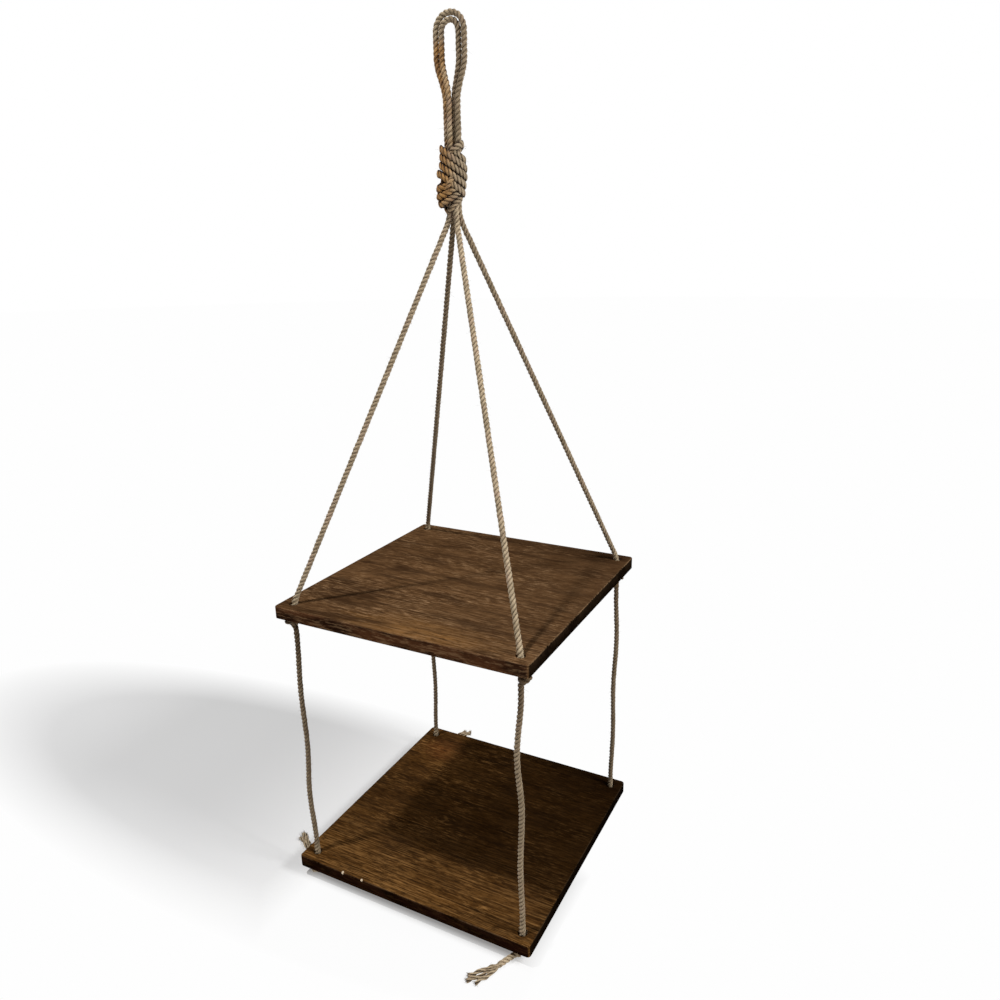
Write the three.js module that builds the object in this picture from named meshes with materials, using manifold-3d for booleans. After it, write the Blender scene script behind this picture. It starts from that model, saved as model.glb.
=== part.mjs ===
// A hanging rope shelf: two square wooden boards on four ropes. Two ropes are folded in half over the
// hook, so four legs run down to one gathering knot, fan out to the corners of the upper board and go
// on down to the lower board. Millimetres, +Z up. The origin is the inner top of the hanging loop,
// where the hook bears, and everything hangs below it. The boards' grain runs along X.

import * as THREE from 'three'
import { mergeVertices } from 'three/addons/utils/BufferGeometryUtils.js'
import Module from 'manifold-3d'

// Boards
const boardSide = 280
const boardThickness = 13
const boardCornerRadius = 4
const boardEdgeEase = 0.8
const holeDiameter = 9
const holeInset = 14

// Rope, and the gap kept between pieces that touch
const ropeDiameter = 5.2
const restingGap = 0.3
const strandGap = 0.5

// Heights: each board's top face to the other's, and the upper board's top face to the gathering knot
const tierPitch = 300
const apexHeight = 368

// Hanging loop
const eyeRadius = 6
const loopDrop = 95
const bightTailLength = 8
const innerLegBottomX = 1.6
const legGatherStart = 10
const legGatherEnd = 46

// Gathering knot
const knotHeight = 62
const knotCoreRadius = 8.3
const knotBulbRadius = 12.6
const knotFootRadius = 9.6
const knotSeatRadius = 8
const knotSeatDrop = 3
const windingTurns = 4.6
const slantingTurns = 4
const swingStartTurn = 4.2
const swingEndTurn = 4.5
const windingPitch = 7
const windingTilt = 6.85
const windingTopRise = 8
const windingHighSideDegrees = 207
const windingTopDrop = 13.4

// Stop knots under the boards
const stopKnotRadius = 7.6
const stopKnotHeight = 12
const stopKnotFaceRadius = 4.4

// Short rope lengths between the two bending places at each end of a lower rope
const neckLength = 10
const openPivotGap = 0.6

// How finely round shapes are cut
const ropeSides = 8
const windingSides = 6
const windingStepsPerTurn = 24
const turnedSides = 20
const holeSides = 20
const bightSteps = 12
const cornerSegments = 4

// Shares of a piece's own size
const bowShares = [0, 0.12, 0.3, 0.5, 0.7, 0.88, 1]
const roundEndShares = [1 / 6, 1 / 3, 1 / 2]
const bulbTopShare = 0.55
const bulbLowShare = 0.14

// Which way each corner lies, how far the slack lower rope wanders off plumb in its upper and lower
// half, and the route of the frayed tail below the lower board, from the stop knot's axis at its foot
const corners = [
  {
    name: 'front_left',
    sideX: -1,
    sideY: -1,
    upperBow: new THREE.Vector2(-2.5, 0.5),
    lowerBow: new THREE.Vector2(-3, -0.5),
    tail: [[-6.68, 4.32, 4.6], [-14.5, 9.6, 4.3], [-21.5, 14, 3.6], [-29, 18.5, 3.1], [-37.5, 24, 2.9],
      [-46, 30, 2.9], [-54, 36.5, 2.9]],
  },
  {
    name: 'front_right',
    sideX: 1,
    sideY: -1,
    upperBow: new THREE.Vector2(-4, -1),
    lowerBow: new THREE.Vector2(-2, 0.5),
    tail: [[-3.62, -7.08, 4.6], [-7.6, -14.8, 4.3], [-11.5, -22, 3.6], [-16, -30, 3.1], [-21.5, -38.5, 2.9],
      [-27, -46.5, 2.9], [-33, -53.5, 2.9]],
  },
  {
    name: 'back_right',
    sideX: 1,
    sideY: 1,
    upperBow: new THREE.Vector2(2, 0.5),
    lowerBow: new THREE.Vector2(1.5, -0.5),
    tail: [[-7.54, -2.51, 4.6], [-16, -5.2, 4.3], [-24, -7, 3.6], [-32.5, -8.6, 3.1], [-41.5, -9.6, 2.9],
      [-50, -10, 2.9], [-58, -9.4, 2.9]],
  },
  {
    name: 'back_left',
    sideX: -1,
    sideY: 1,
    upperBow: new THREE.Vector2(-1.5, 1),
    lowerBow: new THREE.Vector2(1.5, 0.5),
    tail: [[2.04, 7.69, 4.6], [4.4, 16.4, 4.3], [7, 24.5, 3.6], [10, 32.5, 3.1], [13.5, 40.5, 2.9],
      [17.5, 48.5, 2.9], [22, 55.5, 2.9]],
  },
]

// Sizes that follow from the ones above
const ropeRadius = ropeDiameter / 2
const legPitch = ropeDiameter + strandGap
const holeCentre = boardSide / 2 - holeInset
const knotTopZ = -loopDrop
const knotBottomZ = knotTopZ - knotHeight
const upperTopZ = knotBottomZ - apexHeight
const upperUnderZ = upperTopZ - boardThickness
const lowerTopZ = upperTopZ - tierPitch
const lowerUnderZ = lowerTopZ - boardThickness
const ballGap = ropeRadius + restingGap

// Materials
const boardWood = { color: 0x4a3120, roughness: 0.55, metalness: 0 }
const ropeFibre = { color: 0xa98a62, roughness: 0.95, metalness: 0 }

const wasm = await Module()
wasm.setup()

const shelf = new THREE.Group()

function addPiece(parent, name, geometry, finish, z = 0) {
  const piece = new THREE.Mesh(geometry, new THREE.MeshStandardMaterial(finish))
  piece.name = name
  piece.position.z = z
  parent.add(piece)
  return piece
}

// Solids for cutting, with their shared corners merged
function toSolid(geometry) {
  const bare = geometry.clone()
  bare.deleteAttribute('normal')
  bare.deleteAttribute('uv')
  const merged = mergeVertices(bare)
  const vertProperties = new Float32Array(merged.attributes.position.array)
  const triVerts = new Uint32Array(merged.index.array)
  return new wasm.Manifold(new wasm.Mesh({ numProp: 3, vertProperties, triVerts }))
}

function fromSolid(solid) {
  const mesh = solid.getMesh()
  const geometry = new THREE.BufferGeometry()
  geometry.setAttribute('position', new THREE.BufferAttribute(mesh.vertProperties, mesh.numProp))
  geometry.setIndex(new THREE.BufferAttribute(mesh.triVerts, 1))
  return geometry
}

// Rope

// The directions of a route at its stations
function routeDirections(stations) {
  const last = stations.length - 1
  return stations.map((_, i) => {
    const before = stations[Math.max(i - 1, 0)]
    const after = stations[Math.min(i + 1, last)]
    return after.clone().sub(before).normalize()
  })
}

// A rope is one closed tube. A round end is half a ball whose centre is the route's end.
function ropeGeometry(stations, { sides = ropeSides, roundStart = false, roundEnd = false } = {}) {
  const directions = routeDirections(stations)
  const rings = stations.map((centre, i) => ({ centre, direction: directions[i], radius: ropeRadius }))
  const ball = (centre, direction, sign) => roundEndShares.map((share) => ({
    centre: centre.clone().addScaledVector(direction, sign * ropeRadius * Math.sin(share * Math.PI)),
    direction,
    radius: ropeRadius * Math.cos(share * Math.PI),
  }))
  const last = stations.length - 1
  const startBall = roundStart ? ball(stations[0], directions[0], -1) : []
  const endBall = roundEnd ? ball(stations[last], directions[last], 1) : []
  const startTip = startBall.length ? startBall.pop().centre : stations[0]
  const endTip = endBall.length ? endBall.pop().centre : stations[last]
  const allRings = [...startBall.reverse(), ...rings, ...endBall]

  const ringCorners = []
  const across = new THREE.Vector3(1, 0, 0)
  if (Math.abs(allRings[0].direction.x) > Math.abs(allRings[0].direction.z)) {
    across.set(0, 0, 1)
  }
  for (const { centre, direction, radius } of allRings) {
    across.addScaledVector(direction, -across.dot(direction)).normalize()
    const up = direction.clone().cross(across)
    for (let side = 0; side < sides; side += 1) {
      const angle = 2 * Math.PI * side / sides
      const corner = centre.clone()
      corner.addScaledVector(across, radius * Math.cos(angle))
      corner.addScaledVector(up, radius * Math.sin(angle))
      ringCorners.push(corner)
    }
  }
  const startCentre = ringCorners.push(startTip.clone()) - 1
  const endCentre = ringCorners.push(endTip.clone()) - 1

  const triangles = []
  const lastRing = (allRings.length - 1) * sides
  for (let side = 0; side < sides; side += 1) {
    const next = (side + 1) % sides
    triangles.push(startCentre, next, side)
    triangles.push(endCentre, lastRing + side, lastRing + next)
    for (let ring = 0; ring < lastRing; ring += sides) {
      triangles.push(ring + side, ring + next, ring + sides + next)
      triangles.push(ring + side, ring + sides + next, ring + sides + side)
    }
  }
  const geometry = new THREE.BufferGeometry().setFromPoints(ringCorners)
  geometry.setIndex(triangles)
  return geometry
}

function smoothShare(share) {
  const inside = Math.min(Math.max(share, 0), 1)
  return inside * inside * (3 - 2 * inside)
}

// Hanging loop: two folded ropes, one inside the other, with their flat ends level

const innerBendRadius = eyeRadius + ropeRadius
const outerBendRadius = innerBendRadius + legPitch
const bendCentreZ = -eyeRadius
const bightEndZ = bendCentreZ - bightTailLength
const legTopZ = bightEndZ - ballGap
const legBottomZ = knotTopZ + restingGap

function bightStations(bendRadius) {
  const stations = [new THREE.Vector3(-bendRadius, 0, bightEndZ)]
  for (let step = 0; step <= bightSteps; step += 1) {
    const angle = Math.PI * (1 - step / bightSteps)
    const x = bendRadius * Math.cos(angle)
    stations.push(new THREE.Vector3(x, 0, bendCentreZ + bendRadius * Math.sin(angle)))
  }
  stations.push(new THREE.Vector3(bendRadius, 0, bightEndZ))
  return stations
}

addPiece(shelf, 'loop_bight_inner', ropeGeometry(bightStations(innerBendRadius)), ropeFibre)
addPiece(shelf, 'loop_bight_outer', ropeGeometry(bightStations(outerBendRadius)), ropeFibre)

// The four legs draw together into a bundle: the inner two end one before the other
const innerLegBottomY = Math.sqrt((legPitch / 2) ** 2 - innerLegBottomX ** 2)
const outerLegBottomX = innerLegBottomX + Math.sqrt(legPitch ** 2 - innerLegBottomY ** 2)
const legs = [
  { name: 'loop_leg_outer_left', topX: -outerBendRadius, bottomX: -outerLegBottomX, bottomY: 0 },
  { name: 'loop_leg_inner_left', topX: -innerBendRadius, bottomX: -innerLegBottomX, bottomY: -innerLegBottomY },
  { name: 'loop_leg_inner_right', topX: innerBendRadius, bottomX: innerLegBottomX, bottomY: innerLegBottomY },
  { name: 'loop_leg_outer_right', topX: outerBendRadius, bottomX: outerLegBottomX, bottomY: 0 },
]
const legDropSteps = 8

for (const leg of legs) {
  const stations = [new THREE.Vector3(leg.topX, 0, legTopZ)]
  for (let step = 0; step <= legDropSteps; step += 1) {
    const drop = legGatherStart + (legGatherEnd - legGatherStart) * step / legDropSteps
    const share = smoothShare(step / legDropSteps)
    const x = leg.topX + (leg.bottomX - leg.topX) * share
    stations.push(new THREE.Vector3(x, leg.bottomY * share, legTopZ - drop))
  }
  stations.push(new THREE.Vector3(leg.bottomX, leg.bottomY, legBottomZ))
  addPiece(shelf, leg.name, ropeGeometry(stations, { roundStart: true }), ropeFibre)
}

// Gathering knot: the bundled ropes inside, and one rope wound round them in slanting turns

const seatZ = knotBottomZ - knotSeatDrop
const windingRadius = knotCoreRadius + restingGap + ropeRadius
const windingLowZ = knotTopZ - windingTopDrop - slantingTurns * windingPitch
const highSideAngle = windingHighSideDegrees * Math.PI / 180

// The turns slant: they stand windingTilt above their middle on the high side, and below it on the
// other. After the slanting turns the rope swings over, and ends high on the low side.
function windingPoint(turn) {
  const angle = highSideAngle - 2 * Math.PI * turn
  const swing = smoothShare((turn - swingStartTurn) / (swingEndTurn - swingStartTurn))
  const tilt = windingTilt - (windingTilt + windingTopRise) * swing
  const z = windingLowZ + windingPitch * turn + tilt * Math.cos(angle - highSideAngle)
  return new THREE.Vector3(windingRadius * Math.cos(angle), windingRadius * Math.sin(angle), z)
}

function windingStations() {
  const stations = []
  const steps = Math.ceil(windingTurns * windingStepsPerTurn)
  for (let step = 0; step <= steps; step += 1) {
    stations.push(windingPoint(windingTurns * step / steps))
  }
  const directions = routeDirections(stations)
  stations.unshift(stations[0].clone().addScaledVector(directions[0], -ropeDiameter))
  stations.push(stations.at(-1).clone().addScaledVector(directions.at(-1), ropeDiameter))
  return stations
}

// Least gap of a tube to itself, between stations that are over half a turn apart
function leastSelfGap(stations) {
  let least = Infinity
  for (let i = 0; i < stations.length; i += 1) {
    for (let j = i + windingStepsPerTurn / 2; j < stations.length; j += 1) {
      least = Math.min(least, stations[i].distanceTo(stations[j]))
    }
  }
  return least - ropeDiameter
}

const winding = windingStations()
console.log(`gathering knot winding: least gap to itself ${leastSelfGap(winding).toFixed(2)} mm`)
addPiece(shelf, 'gathering_knot_winding', ropeGeometry(winding, { sides: windingSides }), ropeFibre)

// The bundle swells below the winding, and has a round seat underneath where the four ropes leave
function knotCoreGeometry() {
  const bulbTopZ = knotBottomZ + knotHeight * bulbTopShare
  const bulbLowZ = knotBottomZ + knotHeight * bulbLowShare
  const column = new THREE.LatheGeometry([
    new THREE.Vector2(0, knotBottomZ),
    new THREE.Vector2(knotCoreRadius, knotBottomZ),
    new THREE.Vector2(knotCoreRadius, knotTopZ),
    new THREE.Vector2(0, knotTopZ),
  ], turnedSides)
  const bulb = new THREE.LatheGeometry([
    new THREE.Vector2(0, knotBottomZ),
    new THREE.Vector2(knotFootRadius, knotBottomZ),
    new THREE.Vector2(knotBulbRadius, bulbLowZ),
    new THREE.Vector2(knotBulbRadius, bulbTopZ),
    new THREE.Vector2(0, bulbTopZ),
  ], turnedSides)
  const toUp = (geometry) => geometry.rotateX(Math.PI / 2)

  const slant = Math.atan2(windingTilt, windingRadius)
  const clearDrop = (ropeRadius + restingGap + strandGap) / Math.cos(slant)
  const cutSize = 4 * knotHeight
  const cut = new THREE.BoxGeometry(cutSize, cutSize, cutSize)
  cut.translate(0, 0, cutSize / 2)
  cut.rotateY(-slant)
  cut.rotateZ(highSideAngle)
  cut.translate(0, 0, windingLowZ - clearDrop)

  const seat = new THREE.SphereGeometry(knotSeatRadius + restingGap, turnedSides, turnedSides / 2)
  seat.rotateX(Math.PI / 2)
  seat.translate(0, 0, seatZ)

  const bulbBelow = toSolid(toUp(bulb)).subtract(toSolid(cut))
  return fromSolid(toSolid(toUp(column)).add(bulbBelow).subtract(toSolid(seat)))
}

addPiece(shelf, 'gathering_knot_core', knotCoreGeometry(), ropeFibre)

// Boards: square, with eased edges, round corners and a hole for a rope near each corner

function boardGeometry() {
  const half = boardSide / 2 - boardEdgeEase
  const round = boardCornerRadius
  const outline = new THREE.Shape()
  outline.moveTo(half - round, -half)
  outline.absarc(half - round, round - half, round, -Math.PI / 2, 0)
  outline.absarc(half - round, half - round, round, 0, Math.PI / 2)
  outline.absarc(round - half, half - round, round, Math.PI / 2, Math.PI)
  outline.absarc(round - half, round - half, round, Math.PI, 3 * Math.PI / 2)
  outline.closePath()
  for (const { sideX, sideY } of corners) {
    const hole = new THREE.Path()
    const radius = holeDiameter / 2 + boardEdgeEase
    for (let step = 0; step < holeSides; step += 1) {
      const angle = -2 * Math.PI * step / holeSides
      const x = sideX * holeCentre + radius * Math.cos(angle)
      const y = sideY * holeCentre + radius * Math.sin(angle)
      if (step === 0) {
        hole.moveTo(x, y)
      } else {
        hole.lineTo(x, y)
      }
    }
    hole.closePath()
    outline.holes.push(hole)
  }
  const geometry = new THREE.ExtrudeGeometry(outline, {
    depth: boardThickness - 2 * boardEdgeEase,
    bevelThickness: boardEdgeEase,
    bevelSize: boardEdgeEase,
    bevelSegments: 1,
    curveSegments: cornerSegments,
  })
  geometry.translate(0, 0, boardEdgeEase)
  return geometry
}

addPiece(shelf, 'upper_board', boardGeometry(), boardWood, upperUnderZ)
addPiece(shelf, 'lower_board', boardGeometry(), boardWood, lowerUnderZ)

// Upper ropes: out of the knot's seat side by side, then straight down to the holes and through them

const bundleOffset = (ropeDiameter + strandGap) / 2
const bendReach = 2 * ropeDiameter
const bendSteps = 3

// A corner of the route rounded by a few stations
function roundedCorner(before, corner, after) {
  const start = corner.clone().add(before.clone().sub(corner).setLength(bendReach))
  const end = corner.clone().add(after.clone().sub(corner).setLength(bendReach))
  return new THREE.QuadraticBezierCurve3(start, corner, end).getPoints(bendSteps)
}

function upperRopeGeometry({ sideX, sideY }) {
  const top = new THREE.Vector3(sideX * bundleOffset, sideY * bundleOffset, seatZ + bendReach)
  const fan = new THREE.Vector3(top.x, top.y, seatZ)
  const hole = new THREE.Vector3(sideX * holeCentre, sideY * holeCentre, upperTopZ)
  const bottom = new THREE.Vector3(hole.x, hole.y, upperUnderZ)
  const above = top.clone().setZ(seatZ + 2 * bendReach)
  const holeBend = roundedCorner(fan, hole, bottom)
  const stations = [above, ...roundedCorner(above, fan, hole), ...holeBend, bottom]
  const rope = toSolid(ropeGeometry(stations))

  // The four upper ends share one ball, which turns in the knot's seat
  const ball = new THREE.SphereGeometry(knotSeatRadius, 2 * turnedSides, turnedSides)
  ball.rotateX(Math.PI / 2)
  ball.translate(0, 0, seatZ)
  const below = new THREE.BoxGeometry(2 * boardSide, 2 * boardSide, apexHeight + tierPitch)
  below.translate(0, 0, seatZ - (apexHeight + tierPitch) / 2)
  return fromSolid(rope.intersect(toSolid(ball).add(toSolid(below))))
}

// A stop knot is a lump with flat ends. The lower ones carry the rope that fills the hole above them.
function stopKnotGeometry(ropeAbove = 0) {
  const half = stopKnotHeight / 2
  const profile = [
    new THREE.Vector2(0, -half),
    new THREE.Vector2(stopKnotFaceRadius, -half),
    new THREE.Vector2(stopKnotRadius * Math.cos(Math.PI / 6), -half * Math.sin(Math.PI / 4)),
    new THREE.Vector2(stopKnotRadius, 0),
    new THREE.Vector2(stopKnotRadius * Math.cos(Math.PI / 6), half * Math.sin(Math.PI / 4)),
    new THREE.Vector2(stopKnotFaceRadius, half),
  ]
  if (ropeAbove > 0) {
    profile.push(new THREE.Vector2(ropeRadius, half))
    profile.push(new THREE.Vector2(ropeRadius, half + ropeAbove))
    profile.push(new THREE.Vector2(0, half + ropeAbove))
  } else {
    profile.push(new THREE.Vector2(0, half))
  }
  const geometry = new THREE.LatheGeometry(profile, turnedSides)
  geometry.rotateX(Math.PI / 2)
  geometry.translate(0, 0, -half)
  return geometry
}

// Heights of the bending places of a lower rope, from the top down
const upperKnotTopZ = upperUnderZ - restingGap
const upperKnotBottomZ = upperKnotTopZ - stopKnotHeight
const neckPivotZ = upperKnotBottomZ - ballGap
const neckEndZ = neckPivotZ - neckLength
const throughTopZ = lowerTopZ + restingGap
const footPivotZ = throughTopZ + ropeRadius + openPivotGap
const footEndZ = footPivotZ + neckLength
const kneeZ = (neckEndZ + footEndZ) / 2
const halfLength = neckEndZ - kneeZ - 3 * restingGap / 2

// Half of a lower rope, bowed a little and upright at both ends
function lowerHalfGeometry(topZ, bow) {
  const stations = bowShares.map((share) => {
    const off = (1 - Math.cos(2 * Math.PI * share)) / 2
    return new THREE.Vector3(bow.x * off, bow.y * off, topZ - halfLength * share)
  })
  return ropeGeometry(stations)
}

function straightRope(topZ, bottomZ, ends) {
  return ropeGeometry([new THREE.Vector3(0, 0, topZ), new THREE.Vector3(0, 0, bottomZ)], ends)
}

const lowerKnotTopZ = lowerUnderZ - restingGap
const lowerKnotBottomZ = lowerKnotTopZ - stopKnotHeight
const throughLength = throughTopZ - lowerKnotTopZ

for (const corner of corners) {
  const { name, sideX, sideY, upperBow, lowerBow, tail } = corner
  addPiece(shelf, `upper_rope_${name}`, upperRopeGeometry(corner), ropeFibre)

  const plumbLine = new THREE.Group()
  plumbLine.position.set(sideX * holeCentre, sideY * holeCentre, 0)
  shelf.add(plumbLine)

  const neck = straightRope(neckPivotZ, neckEndZ, { roundStart: true })
  const upperHalf = lowerHalfGeometry(neckEndZ - restingGap, upperBow)
  const lowerHalf = lowerHalfGeometry(kneeZ - restingGap / 2, lowerBow)
  const foot = straightRope(footEndZ, footPivotZ, { roundEnd: true })
  const tailRoute = tail.map(([x, y, z]) => new THREE.Vector3(x, y, z - restingGap))
  addPiece(plumbLine, `upper_stop_knot_${name}`, stopKnotGeometry(), ropeFibre, upperKnotTopZ)
  addPiece(plumbLine, `rope_neck_${name}`, neck, ropeFibre)
  addPiece(plumbLine, `rope_upper_half_${name}`, upperHalf, ropeFibre)
  addPiece(plumbLine, `rope_lower_half_${name}`, lowerHalf, ropeFibre)
  addPiece(plumbLine, `rope_foot_${name}`, foot, ropeFibre)
  addPiece(plumbLine, `lower_stop_knot_${name}`, stopKnotGeometry(throughLength), ropeFibre, lowerKnotTopZ)
  addPiece(plumbLine, `frayed_tail_${name}`, ropeGeometry(tailRoute), ropeFibre, lowerKnotBottomZ)
}

export default shelf
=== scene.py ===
# A hanging rope shelf: two square dark-stained boards, hung one above the other on twisted ropes that
# pass through corner holes, gather in one knot and end in a hanging loop.
import math

import bmesh
import bpy
import numpy as np
from mathutils import Matrix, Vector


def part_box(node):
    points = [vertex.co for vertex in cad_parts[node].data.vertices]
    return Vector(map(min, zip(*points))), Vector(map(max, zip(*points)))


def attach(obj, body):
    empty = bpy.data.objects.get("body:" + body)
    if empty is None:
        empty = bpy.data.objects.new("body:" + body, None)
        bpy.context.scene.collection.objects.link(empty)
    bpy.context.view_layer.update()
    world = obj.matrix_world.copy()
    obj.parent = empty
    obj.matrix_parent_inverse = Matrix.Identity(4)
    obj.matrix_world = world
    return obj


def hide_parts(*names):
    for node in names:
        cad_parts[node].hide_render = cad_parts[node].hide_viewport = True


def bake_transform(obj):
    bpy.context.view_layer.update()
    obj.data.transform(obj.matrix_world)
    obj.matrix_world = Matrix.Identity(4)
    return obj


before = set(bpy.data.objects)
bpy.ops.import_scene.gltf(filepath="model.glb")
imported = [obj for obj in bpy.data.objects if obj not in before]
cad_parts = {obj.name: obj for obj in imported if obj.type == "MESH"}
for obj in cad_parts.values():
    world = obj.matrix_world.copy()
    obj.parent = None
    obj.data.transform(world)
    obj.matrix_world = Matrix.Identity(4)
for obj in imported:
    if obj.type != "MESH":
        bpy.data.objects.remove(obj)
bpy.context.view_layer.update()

MM = 0.001
dice = np.random.default_rng(4206)


def heights_of(node):
    """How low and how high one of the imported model's nodes reaches."""
    low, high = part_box(node)
    return float(low[2]), float(high[2])


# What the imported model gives
BOARD_HALF = float(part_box("upper_board")[1][0])
UPPER_UNDER, UPPER_TOP = heights_of("upper_board")
LOWER_UNDER, LOWER_TOP = heights_of("lower_board")
KNOT_BOTTOM, KNOT_TOP = heights_of("gathering_knot_core")
UPPER_KNOT_BOTTOM, UPPER_KNOT_TOP = heights_of("upper_stop_knot_front_left")
ROPE_FOOT = heights_of("lower_stop_knot_front_left")[0]
UPPER_HALF_BOTTOM, UPPER_HALF_TOP = heights_of("rope_upper_half_front_left")
LOWER_HALF_BOTTOM, LOWER_HALF_TOP = heights_of("rope_lower_half_front_left")
FOOT_TOP = heights_of("rope_foot_front_left")[1]
BIGHT_END = heights_of("loop_bight_outer")[0]

# Rope and holes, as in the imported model
ROPE_RADIUS = 2.6 * MM
RESTING_GAP = 0.3 * MM
STRAND_GAP = 0.5 * MM
HOLE_INSET = 14 * MM
HOLE_RADIUS = 4.5 * MM
SEAT_DROP = 3 * MM
BEND_REACH = 4 * ROPE_RADIUS
HOLE_CENTRE = BOARD_HALF - HOLE_INSET
SEAT = KNOT_BOTTOM - SEAT_DROP
LEG_PITCH = 2 * ROPE_RADIUS + STRAND_GAP
BUNDLE_OFFSET = LEG_PITCH / 2
UP = np.array([0.0, 0.0, 1.0])

# The rope's three strands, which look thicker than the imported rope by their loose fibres
STRANDS = 3
STRAND_RADIUS = 1.36 * MM
HELIX_RADIUS = 1.24 * MM
LAY_LENGTH = 13.5 * MM
STRAND_SIDES = 10
RING_STEP = 1.1 * MM
STRAND_UNEVEN = 0.06
SWELL_REACH = 9
HANGING_FULLNESS = 1.12
LOOP_FULLNESS = 1.07
TUCK_LENGTH = 0.3 * MM
TUCK_SHARE = 0.97

# Each corner: which way it lies, how its slack lower rope wanders off plumb, how its stop knot is
# turned, how much duller and darker its rope is above and below the upper board, partly its own tone
# and partly painted shade, how wide its tail fans out, and the tail's route in millimetres from the
# stop knot's axis, the same points as the imported model's
CORNERS = {
    "front_left": {
        "side": (-1, -1), "upper_bow": (-2.5, 0.5), "lower_bow": (-3, -0.5), "knot_turn": 117,
        "dull_and_shade": (0.2, 0.65), "fan_share": 0.5,
        "tail": [(-6.68, 4.32), (-14.5, 9.6), (-21.5, 14), (-29, 18.5), (-37.5, 24), (-46, 30), (-54, 36.5)],
    },
    "front_right": {
        "side": (1, -1), "upper_bow": (-4, -1), "lower_bow": (-2, 0.5), "knot_turn": 297,
        "dull_and_shade": (0.0, 0.45), "fan_share": 1,
        "tail": [(-3.62, -7.08), (-7.6, -14.8), (-11.5, -22), (-16, -30), (-21.5, -38.5), (-27, -46.5),
                 (-33, -53.5)],
    },
    "back_right": {
        "side": (1, 1), "upper_bow": (2, 0.5), "lower_bow": (1.5, -0.5), "knot_turn": 75,
        "dull_and_shade": (0.35, 0.75), "fan_share": 1,
        "tail": [(-7.54, -2.51), (-16, -5.2), (-24, -7), (-32.5, -8.6), (-41.5, -9.6), (-50, -10),
                 (-58, -9.4)],
    },
    "back_left": {
        "side": (-1, 1), "upper_bow": (-1.5, 1), "lower_bow": (1.5, 0.5), "knot_turn": 150,
        "dull_and_shade": (0.7, 0.8), "fan_share": 0.8,
        "tail": [(2.04, 7.69), (4.4, 16.4), (7, 24.5), (10, 32.5), (13.5, 40.5), (17.5, 48.5), (22, 55.5)],
    },
}

# How high the points of all tails lie above the stop knots' foot, in millimetres
TAIL_HEIGHTS = (4.3, 4.0, 3.3, 2.8, 2.6, 2.6, 2.6)


def add_object(name, data):
    made = bpy.data.objects.new(name, data)
    bpy.context.scene.collection.objects.link(made)
    return made


def placed(right, up, back, place):
    """The matrix of a thing at a place, from where its own X, Y and Z point."""
    turn = Matrix()
    for column, values in enumerate((right, up, back, place)):
        for row in range(3):
            turn[row][column] = values[row]
    return turn


# Camera, at the photograph's viewing angle

CAMERA_PLACE = (0.39658, -0.68518, -0.19323)
CAMERA_RIGHT = (0.89048, 0.45482, -0.01364)
CAMERA_UP = (-0.12218, 0.26788, 0.95567)
CAMERA_BACK = (0.43831, -0.84934, 0.29411)
FOCAL_PIXELS = 800.71
IMAGE_PIXELS = 1000
SENSOR_MM = 36


def make_camera():
    data = bpy.data.cameras.new("camera")
    data.sensor_width = SENSOR_MM
    data.lens = SENSOR_MM * FOCAL_PIXELS / IMAGE_PIXELS
    data.clip_start = 10 * MM
    camera = add_object("camera", data)
    camera.matrix_world = placed(CAMERA_RIGHT, CAMERA_UP, CAMERA_BACK, CAMERA_PLACE)
    bpy.context.scene.camera = camera


make_camera()


# Curves

BEND_STEPS = 24
SAME_PLACE = 1e-8
SIDE_HINT = [0.31, 0.95, 0.05]


def smooth(share):
    inside = np.clip(share, 0, 1)
    return inside * inside * (3 - 2 * inside)


def fade(value, start, end):
    """0 up to the start, 1 from the end on, and smooth in between."""
    return smooth((value - start) / (end - start))


def nearest(values, value):
    return int(np.argmin(np.abs(values - value)))


def unit(vectors):
    return vectors / np.linalg.norm(vectors, axis=-1, keepdims=True)


def line(start, end):
    start, end = np.array(start, float), np.array(end, float)
    count = max(2, int(np.linalg.norm(end - start) / MM) + 1)
    shares = np.linspace(0, 1, count)[:, None]
    return start + (end - start) * shares


def rounded_corner(before, corner, after, reach):
    before, corner, after = (np.array(p, float) for p in (before, corner, after))
    start = corner + (before - corner) * reach / np.linalg.norm(before - corner)
    end = corner + (after - corner) * reach / np.linalg.norm(after - corner)
    t = np.linspace(0, 1, BEND_STEPS)[:, None]
    return (1 - t) ** 2 * start + 2 * t * (1 - t) * corner + t ** 2 * end


def curve_through(points, steps=16):
    """A smooth curve through a few given points."""
    points = np.array(points, float)
    padded = np.vstack([2 * points[0] - points[1], points, 2 * points[-1] - points[-2]])
    t = np.linspace(0, 1, steps, endpoint=False)[:, None]
    parts = []
    for a, b, c, d in zip(padded, padded[1:], padded[2:], padded[3:]):
        parts.append(0.5 * (2 * b + (c - a) * t + (2 * a - 5 * b + 4 * c - d) * t ** 2
                            + (3 * b - a - 3 * c + d) * t ** 3))
    return np.vstack(parts + [points[-1:]])


def lengths_along(points):
    steps = np.linalg.norm(np.diff(points, axis=0), axis=1)
    return np.concatenate([[0], np.cumsum(steps)])


def spread_evenly(points, count):
    """So many points at even steps along a curve, and how far along it each lies."""
    along = lengths_along(points)
    even = np.linspace(0, along[-1], count)
    return np.stack([np.interp(even, along, points[:, k]) for k in range(3)], axis=1), even


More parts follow.
